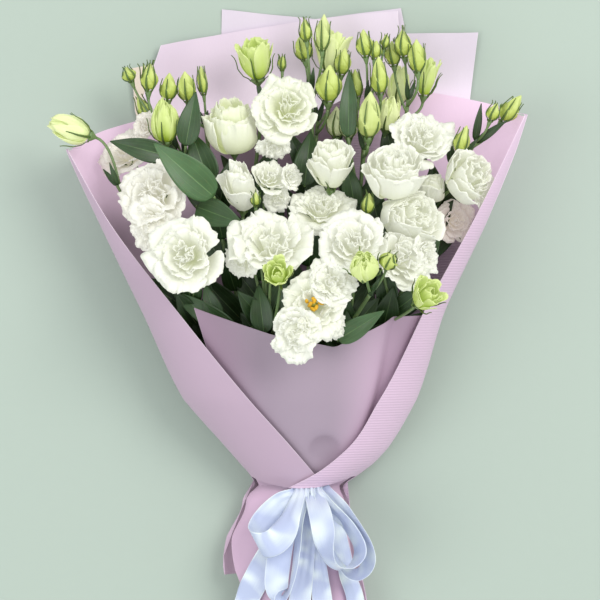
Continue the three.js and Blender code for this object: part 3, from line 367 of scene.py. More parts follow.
# ---------------------------------------------------------------- materials
RIB_SCALE = 132.0  # a rib every 2.4 mm
PETAL_GLOW = 0.33  # painted light: a thin piece glows by this share of its colour, in place of light that comes through it
# Painted light too: how much an opening bud, a closed bud and the satin glow, as shares of their colour.
OPENING_GLOW = 0.28
BUD_GLOW = 0.1
SATIN_GLOW = 0.14
BLUSHED_PETAL = tint("c7a8ae")  # a petal in the light that the paper throws on it
YOUNG_PETAL = tint("98b02e")
BUD_TIP = tint("c4ce86")
PALE_BUD = tint("d3d8b4")
LEAF_VEIN = tint("93b072")
PINK_PAPER = tint("bda0b6")
# Painted highlight that lightens the paper along its borders.
PAINTED_RIM_HIGHLIGHT = tint("dcd0d8")
# Painted shade that darkens the paper where it is written.
PAINTED_PAPER_SHADE = tint("5d4757")
FILAMENT = tint("e9e3a0")


def scaled(colour, share):
    return tuple(min(1, v * share) for v in colour)


def maths_method(operation, swapped=False):
    """A method that adds a Math node of a wire and a value, the value first where swapped."""
    def method(self, other):
        return self.finish.maths(operation, *((other, self) if swapped else (self, other)))
    return method


class Wire:
    """An output of a finish's nodes, on which Python's operators add Math nodes."""

    __add__ = maths_method("ADD")
    __radd__ = maths_method("ADD", swapped=True)
    __sub__ = maths_method("SUBTRACT")
    __rsub__ = maths_method("SUBTRACT", swapped=True)
    __mul__ = maths_method("MULTIPLY")
    __rmul__ = maths_method("MULTIPLY", swapped=True)
    __pow__ = maths_method("POWER")

    def __init__(self, finish, socket):
        self.finish = finish
        self.socket = socket

    def size(self):
        return self.finish.maths("ABSOLUTE", self, 0.0)

    def near_ends(self, steepness):
        """1 where this value is 0 or 1, and 0 a little way in from there."""
        return (1 - (0.5 - (self - 0.5).size()) * steepness).held(0, 1)

    def held(self, low, high):
        """This value, at least low and at most high."""
        return self.finish.maths("MINIMUM", self.finish.maths("MAXIMUM", self, low), high)


class Finish:
    """A procedural material."""

    def __init__(self, name, **constants):
        self.material = bpy.data.materials.new(name)
        self.material.use_nodes = True
        self.tree = self.material.node_tree
        self.shader = self.tree.nodes["Principled BSDF"]
        for socket, value in constants.items():
            self.shader.inputs[socket.replace("_", " ").title()].default_value = value

    def node(self, kind, sockets=None, output=0, **settings):
        """Any node: its settings first, then the values or links of its sockets."""
        made = self.tree.nodes.new(kind)
        for setting, value in settings.items():
            setattr(made, setting, value)
        for socket, value in (sockets or {}).items():
            if isinstance(value, Wire):
                self.tree.links.new(value.socket, made.inputs[socket])
            else:
                made.inputs[socket].default_value = value
        return Wire(self, made.outputs[output])

    def maths(self, operation, a, b):
        return self.node("ShaderNodeMath", {0: a, 1: b}, operation=operation)

    def mix(self, share, a, b):
        """Colour a at share 0, colour b at share 1."""
        ends = {6: a if isinstance(a, Wire) else (*a, 1), 7: b if isinstance(b, Wire) else (*b, 1)}
        return self.node("ShaderNodeMix", {0: share, **ends}, output=2, data_type="RGBA")

    def noise(self, scale, detail=3.0, stretch=(1, 1, 1), on_uv=False, seed=0.0):
        coordinates = self.node("ShaderNodeTexCoord", output="UV" if on_uv else "Object")
        turned = self.node("ShaderNodeMapping", {"Vector": coordinates, "Scale": stretch,
                                                 "Location": (seed, seed, seed)})
        return self.node("ShaderNodeTexNoise", {"Vector": turned, "Scale": scale, "Detail": detail})

    def uv(self):
        """The piece's own U, across it, and V, along it."""
        coordinates = self.node("ShaderNodeTexCoord", output="UV")
        return [self.node("ShaderNodeSeparateXYZ", {0: coordinates}, output=i) for i in (0, 1)]

    def written(self, name):
        """A number that is written on the mesh."""
        return self.node("ShaderNodeAttribute", output="Fac", attribute_name=name)

    def set(self, **sockets):
        for socket, wire in sockets.items():
            self.tree.links.new(wire.socket, self.shader.inputs[socket.replace("_", " ").title()])
        return self

    def bump(self, height, distance, strength=1.0):
        wire = self.node("ShaderNodeBump", {"Height": height, "Distance": distance, "Strength": strength})
        self.tree.links.new(wire.socket, self.shader.inputs["Normal"])
        return self


def petal_finish(name, petal, claw, glow):
    """Soft white petals, greenish at the foot and when young, with fine veins that fan to the rim; they glow
    with painted light, and their written blush paints in the pink light that the paper throws on them.
    """
    made = Finish(name, roughness=0.6, subsurface_weight=0.15, subsurface_scale=0.0015,
                  emission_strength=glow)
    made.shader.inputs["Subsurface Radius"].default_value = (1.0, 1.0, 0.85)
    along = made.uv()[1]
    fresh = made.written("fresh")
    foot = (1 - along) ** 1.7
    green = (foot * 0.28 + fresh * (1.1 - 0.7 * along)).held(0, 1)
    streaks = made.noise(1.0, 4.0, stretch=(46, 2.5, 1), on_uv=True)
    patches = made.noise(70.0, 2.0)
    share = (green + (streaks - 0.5) * 0.12 + (patches - 0.5) * 0.10).held(0, 1)
    body = made.mix(made.written("blush"), made.mix(share, petal, claw), BLUSHED_PETAL)
    made.set(base_color=body, emission_color=body, roughness=0.5 + 0.14 * patches)
    return made.bump(streaks * along, 0.0011, 0.6).material


def bud_finish(name, bud, tip, glow):
    """Closed petals, greener at the foot, with veins along the twist; they glow a little with painted light.
    """
    made = Finish(name, roughness=0.45, emission_strength=glow)
    along = made.uv()[1]
    streaks = made.noise(1.0, 4.0, stretch=(34, 2, 1), on_uv=True)
    patches = made.noise(120.0, 2.0)
    share = (along ** 1.5 * 0.8 + (streaks - 0.5) * 0.5 + (patches - 0.5) * 0.3).held(0, 1)
    body = made.mix(made.written("pale"), made.mix(share, bud, tip), PALE_BUD)
    made.set(base_color=body, emission_color=body, roughness=0.38 + 0.16 * patches)
    return made.bump(streaks, 0.0005, 0.5).material


def leaf_finish(name, leaf, wax):
    """Leaves with a pale midrib, side veins that run along them and a waxy bloom."""
    made = Finish(name, roughness=0.45, subsurface_weight=0.08, subsurface_scale=0.002)
    across, along = made.uv()
    off_middle = (across * 2 - 1).size()
    midrib = (1 - off_middle * 16).held(0, 1)
    side_veins = (1 - (off_middle - 0.42).size() * 26).held(0, 1) + (
        1 - (off_middle - 0.72).size() * 30).held(0, 1)
    veins = (midrib + side_veins * 0.3) * (1 - along * 0.6)
    patches = made.noise(60.0, 4.0)
    waxy = (made.written("waxy") * 0.85 + (patches - 0.5) * 0.5).held(0, 1)
    body = made.mix(waxy, leaf, wax)
    pale = tuple(0.45 * a + 0.55 * b for a, b in zip(LEAF_VEIN, wax))
    made.set(base_color=made.mix(veins * 0.6, body, pale))
    made.set(roughness=0.34 + 0.2 * patches)
    return made.bump(1 - veins + patches * 0.4, 0.0006, 0.5).material


def stem_finish(name, green):
    """Smooth stems with fine lines along them."""
    made = Finish(name, roughness=0.42, subsurface_weight=0.08, subsurface_scale=0.002)
    lines = made.noise(1.0, 3.0, stretch=(26, 3, 1), on_uv=True)
    patches = made.noise(45.0, 3.0)
    share = (lines * 0.5 + patches * 0.5).held(0, 1)
    made.set(base_color=made.mix(share, scaled(green, 0.6), scaled(green, 1.35)))
    made.set(roughness=0.34 + 0.18 * patches)
    return made.bump(lines, 0.0003, 0.5).material


def paper_finish(name, colour, glow, ribbed=False):
    """Pearly wrapping paper, ribbed across on the right-hand flap; it glows with painted light in place of
    light that comes through it, and takes painted highlights and painted shade.
    """
    made = Finish(name, roughness=0.6, sheen_weight=0.15, emission_strength=1.0)
    fibres = made.noise(900.0, 3.0, stretch=(1, 0.25, 1))
    clouds = made.noise(11.0, 3.0, seed=len(name))
    deep = scaled(colour, 0.88)
    share = (clouds * 0.75 + fibres * 0.25).held(0, 1)
    border = made.uv()[0].near_ends(230)
    body = made.mix(made.written("pinkness"), made.mix(share, deep, scaled(colour, 1.06)), PINK_PAPER)
    # Painted highlight: the paper is lighter along the two edges where its columns begin and end.
    body = made.mix(border * 0.5, body, PAINTED_RIM_HIGHLIGHT)
    # Painted shade, where it is written on the sheet: beside and under the flaps, in the dent and deep among
    # the flowers.
    body = made.mix(made.written("dusk"), body, PAINTED_PAPER_SHADE)
    height = fibres * 0.25 + clouds * 0.5
    if ribbed:
        coordinates = made.node("ShaderNodeTexCoord", output="Object")
        sockets = {"Vector": coordinates, "Scale": RIB_SCALE, "Distortion": 0.2}
        ribs = made.node("ShaderNodeTexWave", sockets, output="Fac", bands_direction="Y")
        ribs = ribs * (1 - made.written("inner") * 0.9).held(0, 1)
        height = height + ribs * 1.5
        # Painted shade: the ribs also stripe the colour darker.
        body = made.mix(ribs * 0.22, body, deep)
    # Painted light: the sheet glows by its share of its colour, and more where 'inner' is written.
    through = made.mix(glow + made.written("inner") * 0.24, (0, 0, 0), body)
    made.set(base_color=body, emission_color=through, roughness=0.5 + 0.2 * fibres)
    return made.bump(height, 0.0003, 0.6).material


def satin_finish(name, colour, shade):
    """Satin with a soft sheen, broad painted glints across it, fine threads along it and a faint painted
    glow.
    """
    made = Finish(name, roughness=0.3, sheen_weight=0.3, sheen_roughness=0.3, anisotropic=0.4,
                  emission_strength=SATIN_GLOW)
    threads = made.noise(1.0, 3.0, stretch=(120, 5, 1), on_uv=True)
    glints = made.noise(1.0, 1.0, stretch=(0.5, 7, 1), on_uv=True)
    selvedge = made.uv()[0].near_ends(22)
    # Painted highlight: the glints lighten the shade colour towards the satin colour.
    light = ((glints - 0.44) * 3.2 + (threads - 0.5) * 0.5 + selvedge * 0.5).held(0, 1)
    body = made.mix(light, shade, colour)
    made.set(base_color=body, emission_color=body, roughness=0.24 + 0.14 * threads)
    return made.bump(threads + selvedge, 0.0002, 0.5).material


def plain_finish(name, colour, roughness=0.5, grain=150.0, contrast=0.25):
    """A small piece, or the floor, with a fine grain."""
    made = Finish(name, roughness=roughness)
    grains = made.noise(grain, 3.0)
    made.set(base_color=made.mix(grains, scaled(colour, 1 - contrast), colour))
    made.set(roughness=roughness - 0.08 + 0.16 * grains)
    return made.bump(grains, 0.0003, 0.5).material


# ---------------------------------------------------------------- shapes
def unit(vector):
    vector = np.asarray(vector, float)
    return vector / np.linalg.norm(vector, axis=-1, keepdims=True)


def basis(axis):
    """Two directions at right angles to the axis and to each other."""
    side = np.array([0.0, 0.0, 1.0]) if abs(axis[2]) < 0.9 else np.array([0.0, 1.0, 0.0])
    first = unit(np.cross(side, axis))
    return first, np.cross(axis, first)


def bezier(ends, t):
    u = 1 - t
    a, b, c, d = ends
    return u**3 * a + 3 * u * u * t * b + 3 * u * t * t * c + t**3 * d


def bezier_slope(ends, t):
    u = 1 - t
    a, b, c, d = ends
    return 3 * u * u * (b - a) + 6 * u * t * (c - b) + 3 * t * t * (d - c)


def smooth(x, low, high):
    share = np.clip((x - low) / (high - low), 0, 1)
    return share * share * (3 - 2 * share)


def through(points, t):
    """A smooth curve through the rows of points, t from 0 to 1, evenly spaced in rows."""
    points = np.asarray(points, float)
    last = len(points) - 1
    place = np.clip(np.asarray(t, float), 0, 1) * last
    i = np.minimum(place.astype(int), last - 1)
    u = (place - i)[..., None]
    p1, p2 = points[i], points[i + 1]
    p0 = np.where((i > 0)[..., None], points[np.maximum(i - 1, 0)], 2 * p1 - p2)
    p3 = np.where((i < last - 1)[..., None], points[np.minimum(i + 2, last)], 2 * p2 - p1)
    return 0.5 * (2 * p1 + (p2 - p0) * u + (2 * p0 - 5 * p1 + 4 * p2 - p3) * u**2
                  + (3 * p1 - p0 - 3 * p2 + p3) * u**3)


def sampled(table, x):
    """Straight interpolation in a table of stations, which ascend, and values."""
    return np.interp(x, *np.asarray(table, float).T)


def flowing(table, y, softness=1.0):
    """Columns of a table at y, as smooth curves along y, or partly straight between the rows."""
    table = np.asarray(table, float)
    stations = table[:, 0]
    slopes = np.gradient(table[:, 1:], stations, axis=0)
    y = np.clip(np.asarray(y, float), stations[0], stations[-1])
    i = np.clip(np.searchsorted(stations, y) - 1, 0, len(stations) - 2)
    step = (stations[i + 1] - stations[i])[..., None]
    u = (y - stations[i])[..., None] / step
    low, high = table[i, 1:], table[i + 1, 1:]
    curve = ((2 * u**3 - 3 * u**2 + 1) * low + (u**3 - 2 * u**2 + u) * step * slopes[i]
             + (3 * u**2 - 2 * u**3) * high + (u**3 - u**2) * step * slopes[i + 1])
    straight = low + (high - low) * u
    return np.moveaxis(softness * curve + (1 - softness) * straight, -1, 0)


def section_at(y):
    """Middle, half width, side height, crown height and lift of the wrap at y."""
    left, right, side, crown, lift = flowing(SECTIONS, y, 0.5)
    return (left + right) / 2, (right - left) / 2, side, crown, lift


def outwards(axis, angle):
    """The direction at right angles to the axis that stands at an angle round it."""
    first, second = basis(axis)
    return np.cos(angle) * first + np.sin(angle) * second


def round_axis(foot, axis, height, radius, angle):
    """Points at a height along the axis over its foot, and at a radius and an angle round it."""
    first, second = basis(axis)
    return (foot + np.outer(height, axis) + np.outer(radius * np.cos(angle), first)
            + np.outer(radius * np.sin(angle), second))


def arc(start, bend, end, t):
    """A curve from start to end that leans towards bend, t from 0 to 1."""
    t = t[:, None]
    return (1 - t) ** 2 * start + 2 * t * (1 - t) * bend + t * t * end


def nothing_selected():
    bpy.ops.object.select_all(action="DESELECT")


def selected_alone(obj):
    nothing_selected()
    obj.select_set(True)
    bpy.context.view_layer.objects.active = obj


def new_grid(name, columns, rows):
    """A unit grid whose own UV map has s across and t along it."""
    nothing_selected()
    bpy.ops.mesh.primitive_grid_add(x_subdivisions=columns, y_subdivisions=rows, size=1.0)
    bpy.context.object.name = name
    return bpy.context.object


def new_round(name, sides, rings):
    """A closed round body, to be drawn along a line."""
    nothing_selected()
    bpy.ops.mesh.primitive_uv_sphere_add(segments=sides, ring_count=rings, radius=1.0)
    bpy.context.object.name = name
    return bpy.context.object


def copied(pattern, name):
    made = pattern.copy()
    made.data = pattern.data.copy()
    made.name = name
    bpy.context.scene.collection.objects.link(made)
    return made


def corners(obj):
    values = np.empty(len(obj.data.vertices) * 3)
    obj.data.vertices.foreach_get("co", values)
    return values.reshape(-1, 3)


def set_corners(obj, points):
    """Puts the mesh's vertices at points, in millimetres."""
    obj.data.vertices.foreach_set("co", (np.asarray(points) * MM).ravel())
    obj.data.update()
    return obj


def grid_places(obj):
    """s and t of each vertex of a unit grid."""
    places = corners(obj)
    return places[:, 0] + 0.5, places[:, 1] + 0.5


def write(obj, **values):
    """Writes a number for each vertex, which the materials read."""
    for name, value in values.items():
        layer = obj.data.attributes.new(name, "FLOAT", "POINT")
        layer.data.foreach_set("value", np.broadcast_to(value, len(obj.data.vertices)).astype(np.float32))
    return obj


def joined(parts, name):
    nothing_selected()
    for part in parts:
        part.select_set(True)
    bpy.context.view_layer.objects.active = parts[0]
    if len(parts) > 1:
        bpy.ops.object.join()
    parts[0].name = name
    parts[0].data.name = name
    return parts[0]


def merge(obj):
    """Closes seams and drops the faces that a clamped border has flattened."""
    selected_alone(obj)
    bpy.ops.object.mode_set(mode="EDIT")
    bpy.ops.mesh.select_all(action="SELECT")
    bpy.ops.mesh.remove_doubles(threshold=MERGE_DISTANCE)
    bpy.ops.mesh.dissolve_degenerate(threshold=MERGE_DISTANCE)
    bpy.ops.mesh.select_all(action="DESELECT")
    bpy.ops.object.mode_set(mode="OBJECT")


def thickened(obj, thickness):
    selected_alone(obj)
    wall = obj.modifiers.new("thickness", "SOLIDIFY")
    wall.thickness = thickness
    wall.offset = 0
    bpy.ops.object.modifier_apply(modifier=wall.name)
    return obj


def dress(obj, finish, nodes, smooth_angle=None):
    """Gives a finished piece its material and its body, and hides the parts of the nodes that it stands for.
    """
    if finish is not None:
        obj.data.materials.clear()
        obj.data.materials.append(finish)
    selected_alone(obj)
    if smooth_angle is None:
        bpy.ops.object.shade_smooth()
    else:
        bpy.ops.object.shade_smooth_by_angle(angle=smooth_angle)
    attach(obj, "root")
    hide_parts(*nodes)


def stick(pattern, name, line, radii, flatness=1.0):
    """A round body drawn along a line of stations, one ring of the pattern at each."""
    places = corners(pattern)
    line = np.asarray(line, float)
    stations = len(line)
    polar = np.arccos(np.clip(places[:, 2], -1, 1)) / np.pi
    ring = np.rint((1 - polar) * (stations + 1)).astype(int)
    wide = (ring > 0) & (ring <= stations)
    k = np.clip(ring - 1, 0, stations - 1)
    along = unit(np.gradient(line, axis=0))
    side = np.zeros_like(line)
    side[0] = basis(along[0])[0]
    for i in range(1, stations):
        side[i] = unit(side[i - 1] - along[i] * (side[i - 1] @ along[i]))
    other = np.cross(along, side)
    turn = np.arctan2(places[:, 1], places[:, 0])
    reach = np.broadcast_to(radii, stations)[k] * wide
    points = line[k] + reach[:, None] * (
        np.cos(turn)[:, None] * side[k] + flatness * np.sin(turn)[:, None] * other[k])
    return set_corners(copied(pattern, name), points)


# ---------------------------------------------------------------- paper
def folds(angle, y):
    """How far the paper stands proud in its soft folds, the same for every nested sheet."""
    above = np.abs(np.sin(np.radians(angle) / 2)) ** 3
    skirt = 3.2 * smooth(-y, 12, 70) * np.sin(np.radians(angle) * 5 + 0.9)
    flare = 2.6 * smooth(y, 40, 190) * np.sin(np.radians(angle) * 2.6 + y / 75 + 0.6)
    return above * (skirt + flare)


def wrap_points(angle, y, layer):
    """Points of the wrap: angle from the bottom, 90 on the left, 180 on top, -90 on the right."""
    middle, half, side, crown, lift = section_at(y)
    layer = layer + folds(angle, y) / LAYER
    half = half + LAYER * (layer - MIDDLE_LAYER)
    x = middle - half * np.sin(np.radians(angle))
    rise = 1 - np.cos(np.radians(angle))
    bottom = PAPER_HALF + LAYER * (LOWEST_LAYER - layer) + lift
    share = np.maximum(0, rise - FLAT_SHARE) / (1 - FLAT_SHARE)
    lower = bottom + (side - bottom) * share**1.2
    upper = side + (crown + LAYER * layer - side) * (rise - 1)
    return np.stack([x, y + 0 * x, np.where(rise <= 1, lower, upper)], axis=-1)


def front_angle(x, y, layer, sign):
    """The angle at which the section at y passes over x on its front half."""
    middle, half = section_at(y)[:2]
    half = half + LAYER * (layer - MIDDLE_LAYER)
    share = np.clip(sign * (middle - x) / half, -1, 1)
    return sign * (180 - np.degrees(np.arcsin(share)))


# Rows of a bent sheet crowd round the tie, where it turns sharply.
ROW_LEVELS = [[0, -150], [0.12, -60], [0.24, -12], [0.4, 20], [0.56, 60], [1, 369]]
SIDE_SHARE = 0.42  # share of a flap's columns below its side
SIDE_START = -14  # the angles where those columns start and end
SIDE_END = 96
TIE_ANGLE = 95  # past this angle a flap ends at the tie, and before it, in the skirt
# A flap's lower border over the tie: distance off the middle, and y.
FLAP_BORDER = [[0, 2.6], [18, 3.4], [32, 6.5], [38, 9], [44, 12.5], [60, 16]]
# How far the skirt springs out on the left, round what y, and how far along.
PUFF, PUFF_Y, PUFF_REACH = 8, -3, 13


def puffed(points):
    """The skirt springs out on the left as soon as it leaves the tie."""
    x, y, _ = points.T
    spring = PUFF * np.exp(-(((y - PUFF_Y) / PUFF_REACH) ** 2)) * smooth(-x, 16, 40)
    return points - np.outer(spring, [1, 0, 0])


def flap_points(sign, layer, over_crown, edge, top, skirt_low, s, t):
    """A flap: it comes round from the bottom, sign 1 on the left, to its free edge in front."""
    share = s if sign > 0 else 1 - s
    y = sampled(ROW_LEVELS, t)
    above = np.maximum(y, 3)
    edge_angle = np.abs(front_angle(flowing(edge, above)[0], above, layer, sign))
    below = SIDE_START + (SIDE_END - SIDE_START) * share / SIDE_SHARE
    beyond = (share - SIDE_SHARE) / (1 - SIDE_SHARE)
    front = SIDE_END + (np.maximum(edge_angle, SIDE_END + 1) - SIDE_END) * beyond
    angle = np.where(share <= SIDE_SHARE, below, front)
    high = np.where(share < 0.02, top[0][1], sampled(top, angle))
    x_here = np.abs(wrap_points(sign * angle, 0 * angle + 12, layer)[:, 0])
    border = sampled(FLAP_BORDER, x_here)
    low = skirt_low + (border - skirt_low) * smooth(angle, TIE_ANGLE - 10, TIE_ANGLE)
    y = np.clip(y, low, high)
    crossing = layer + over_crown * smooth(angle, 112, 150)
    return puffed(wrap_points(sign * angle, y, crossing))


# The front panel: its share of the rows, the angles of its sides off the crown, its pleat and dent.
FRONT_ROWS = 0.8
FRONT_LEFT, FRONT_RIGHT = -42, 78
PLEAT_TURN, PLEAT_DEPTH = 47, 5.5
DENT, DENT_SIZE, DENT_DEPTH = (20, 38), 15, 3


def off_dent(points):
    """How far points are from the middle of the dent, as a share of its size."""
    return np.hypot(points[:, 0] - DENT[0], points[:, 1] - DENT[1]) / DENT_SIZE


def front_points(s, t):
    """The front panel, which widens below the tie, with one soft pleat beside the right flap."""
    y = sampled(ROW_LEVELS, t * FRONT_ROWS)
    below = smooth(-y, -24, -9)
    low_left = FRONT_LEFT - 36 * below + 15 * smooth(-y, 30, 90)
    turn = low_left * (1 - s) + (FRONT_RIGHT + 6 * below) * s
    top = sampled(FRONT_TOP, turn)
    y = np.minimum(y, top)
    bulge = -PLEAT_DEPTH * np.exp(-(((turn - PLEAT_TURN) / 5) ** 2)) + 1.6 * np.exp(
        -(((turn - PLEAT_TURN + 16) / 9) ** 2))
    sag = 2.0 * np.sin(turn / 17 + 0.7) * smooth(y, 30, 110)
    outer = 2.3 * below * smooth(np.abs(turn), 48, 84)  # the skirt's borders meet the flaps
    points = wrap_points(180 + turn, y, -2.2 + outer + (bulge * smooth(y, 15, 80) + sag - 1) / LAYER)
    points[:, 2] -= DENT_DEPTH * np.exp(-(off_dent(points) ** 4))
    return puffed(points)


def front_shades(s, t):
    """The front panel is greyer in the middle, where its colour is the flaps' pink paper darkened as
    painted shade, pinker at its sides and below the tie, and darkened by painted shade beside the
    flaps and in the soft dent above the tie."""
    y = sampled(ROW_LEVELS, t * FRONT_ROWS)
    turn = FRONT_LEFT + (FRONT_RIGHT - FRONT_LEFT) * s
    pinkness = np.maximum(smooth(np.abs(turn), 14, 46) * 0.8, smooth(-y, -20, 10))
    dusk = (0.54 * smooth(-turn, 0, 36) * smooth(y, 60, 130)
            + 0.38 * smooth(turn, 38, 56) * smooth(y, 20, 50))
    points = front_points(s, t)
    dusk = dusk + 0.3 * smooth(1.06 - off_dent(points), 0, 0.2) * smooth(points[:, 1], 26, 54)
    return 0, pinkness, dusk


def flap_shades(sign, glow, s, t):
    """Inside, a flap glows with painted light near its upper border and in its skirt, and painted shade
    darkens it deep between the flowers; outside, it glows near its top.
    """
    share = s if sign > 0 else 1 - s
    inside = 1 - smooth(share, 0.36, 0.45)
    upper = smooth(t, 0.79, 0.9) * smooth(share, 0.08, 0.26)
    skirt = smooth(0.3 - t, 0, 0.05)
    inner = inside * (glow * upper + skirt) + 0.9 * (1 - inside) * smooth(t, 0.76, 0.95)
    under = np.maximum(0.5 * smooth(0.86 - t, 0, 0.1), 0.8 * smooth(0.2 - share, 0, 0.14))
    return inner, 0, inside * smooth(t, 0.36, 0.5) * under


def back_shades(pink, s, t):
    """A back sheet glows with painted light below its top, may be pink on the left and pale on the right, and
    low down painted shade darkens it.
    """
    lit = 2.6 * (1 - smooth(t, 0.84, 0.97))
    return lit, pink * (1 - smooth(s, 0.2, 0.75)), 0.75 * smooth(0.84 - t, 0, 0.1) * smooth(t, 0.3, 0.4)


BACK_WAIST = 27  # half the width of a back sheet at the tie
BACK_MIDDLE = -1
SKIRT_Y = -150


def back_points(layer, corners_left, corners_right, skirt_half, crest, s, t):
    """A sheet that lies flat below the flowers; past them its upper end waves a little."""
    (left, left_knee), (right, right_knee) = corners_left, corners_right
    top = left[1] + (right[1] - left[1]) * s + crest * 4 * s * (1 - s)
    y = SKIRT_Y + (top - SKIRT_Y) * t

    def border(corner, knee, sign):
        waist = BACK_MIDDLE + sign * BACK_WAIST
        skirt = BACK_MIDDLE + sign * skirt_half
        return np.interp(y, [SKIRT_Y, 0, knee[1], corner[1]], [skirt, waist, knee[0], corner[0]])

    west, east = border(left, left_knee, -1), border(right, right_knee, 1)
    x = west + (east - west) * s
    rise = smooth(y, 340, 440) * (3.2 + 2.6 * np.sin(x / 26 + 0.8) + 1.2 * np.sin(x / 9 + y / 30))
    z = PAPER_HALF + LAYER * (LOWEST_LAYER - layer) + section_at(y)[4] + rise
    return np.stack([x, y, z], axis=-1)


# Flaps: side, layer, layers that it rises over the crown, free edge, upper border, where its skirt
# ends, and how its inside glows.
FLAPS = {
    "left": (1, 1, 0, LEFT_EDGE, LEFT_TOP, -78, 3.8),
    "right": (-1, 2, 1.4, RIGHT_EDGE, RIGHT_TOP, -122, 2.6),
}
# Back sheets: layer, left corner and the knee below it, right corner and knee, half the skirt, crest.
BACK_SHEETS = {
    "middle": (3, ((-130, 407), (-150, 350)), ((88, 439), (92, 380)), 29, 3),
    "cream": (4, ((-157, 386), (-154, 346)), ((-60, 404), (-50, 350)), 24, 0),
    "back_right": (5, ((40, 418), (36, 350)), ((162, 419), (154, 352)), 28, 0),
    "back_centre": (6, ((2, 430), (2, 350)), ((91, 442), (101, 392)), 26, 0),
    "back_left": (7, ((-74, 441), (-76, 350)), ((70, 425), (64, 350)), 29, 0),
}


# Painted light: how much each kind of sheet glows, as a share of its colour, in place of light that comes
# through it.
PAPER_GLOW = {"left": 0.13, "right": 0.12, "front": 0.02, "middle": 0.2, "cream": 0.05, "back": 0.03}
MIDDLE_PINK = 0.25
FLAP_GRID, FRONT_GRID, BACK_GRID = (90, 130), (60, 110), (40, 110)  # columns and rows


def make_paper(context):
    looks = context.scene.bouquet_paper
    sheets = []
    for name, (*flap, glow) in FLAPS.items():
        shades = partial(flap_shades, flap[0], glow)
        sheets.append((name, name, FLAP_GRID, partial(flap_points, *flap), shades))
    sheets.append(("front", "front", FRONT_GRID, front_points, front_shades))
    for name, sheet in BACK_SHEETS.items():
        kind = "back" if name.startswith("back") else name
        shades = partial(back_shades, MIDDLE_PINK if name == "middle" else 0)
        sheets.append((name, kind, BACK_GRID, partial(back_points, *sheet), shades))
    finishes = {
        kind: paper_finish(f"paper_{kind}", getattr(looks, kind), glow, ribbed=kind == "right")
        for kind, glow in PAPER_GLOW.items()
    }
    for name, kind, (columns, rows), points, shades in sheets:
        sheet = new_grid(f"paper_{name}", columns, rows)
        s, t = grid_places(sheet)
        inner, pinkness, dusk = shades(s, t)
        write(sheet, inner=inner, pinkness=pinkness, dusk=dusk)
        set_corners(sheet, points(s, t))
        merge(sheet)
        thickened(sheet, looks.thickness)
        dress(sheet, finishes[kind], [f"wrap_{name}"], CREASE_ANGLE)


# ---------------------------------------------------------------- ribbon
CUPPING = 1.2  # how far a run stands proud along its middle
CREASE_DEPTH = 1.4  # of the gathers, where the knot draws the satin together


def ribbon_points(stations, s, t):
    """Points of a run of satin, curved a little across its width."""
    rows = [[*middle, *unit(side), width] for middle, side, width in stations]
    here = through(rows, t)
    ahead = through(rows, np.minimum(t + 0.004, 1))[:, :3]
    behind = through(rows, np.maximum(t - 0.004, 0))[:, :3]
    along = unit(ahead - behind)
    side = unit(here[:, 3:6] - along * np.sum(here[:, 3:6] * along, axis=1, keepdims=True))
    across = 2 * s - 1
    out = np.cross(side, along)
    narrow = 1 - here[:, 6] / RIBBON_WIDTH
    bend = CUPPING * (1 - across**2) + CREASE_DEPTH * narrow * np.sin(across * 7.5)
    return here[:, :3] + side * (across * here[:, 6] / 2)[:, None] + out * bend[:, None]


def tail_stations(rows):
    """Stations of a tail that lies on the front of the skirt, from x, y, width and its rise."""
    stations = []
    for x, y, width, rise in rows:
        ends = []
        for offset in (-width / 2, 0, width / 2):
            middle, half = section_at(y)[:2]
            share = np.clip((middle - x - offset) / half, -0.97, 0.97)
            angle = 180 - np.degrees(np.arcsin(share))
            point = wrap_points(angle, np.float64(y), -0.3 + rise / LAYER)
            ends.append(np.array([x + offset, y, point[2]]))
        stations.append((tuple(ends[1]), tuple(ends[2] - ends[0]), width))
    return stations


# Where the band runs, how far it dips at the knot and lifts beside it, and half its width.
BAND_LEVEL, BAND_DIP, BAND_LIFT, BAND_SIDE = 5.4, 0.6, 6, 2.0


def band_points(s, t):
    """The band round the tie: the flaps carry it at the sides, the front panel over the crown."""
    angle = 360 * s
    from_crown = np.abs(180 - angle)
    from_bottom = np.minimum(angle, 360 - angle)
    raised = BAND_LIFT * smooth(from_crown, 24, 60) * (1 - smooth(from_crown, 95, 125))
    y = BAND_LEVEL + raised - BAND_DIP * np.exp(-((from_crown / 24) ** 2)) + BAND_SIDE * (2 * t - 1)
    creases = 0.25 * np.sin(t * 22 + 0.8 * np.sin(np.radians(angle) * 3))
    outset = 0.5 + creases
    layer = -1.25 + 5.25 * smooth(from_crown, 80, 94) + outset / LAYER
    points = wrap_points(angle, np.full_like(angle, BAND_LEVEL), layer)
    on_flat = 1 - smooth(from_bottom, 42, 80)
    points[:, 2] += (1 - outset - points[:, 2]) * on_flat
    points[:, 1] = y
    return points


KNOT = (1.5, -1.0, 47.5)
KNOT_SIZE = (7, 3.4, 3.0)  # half its length, width and height


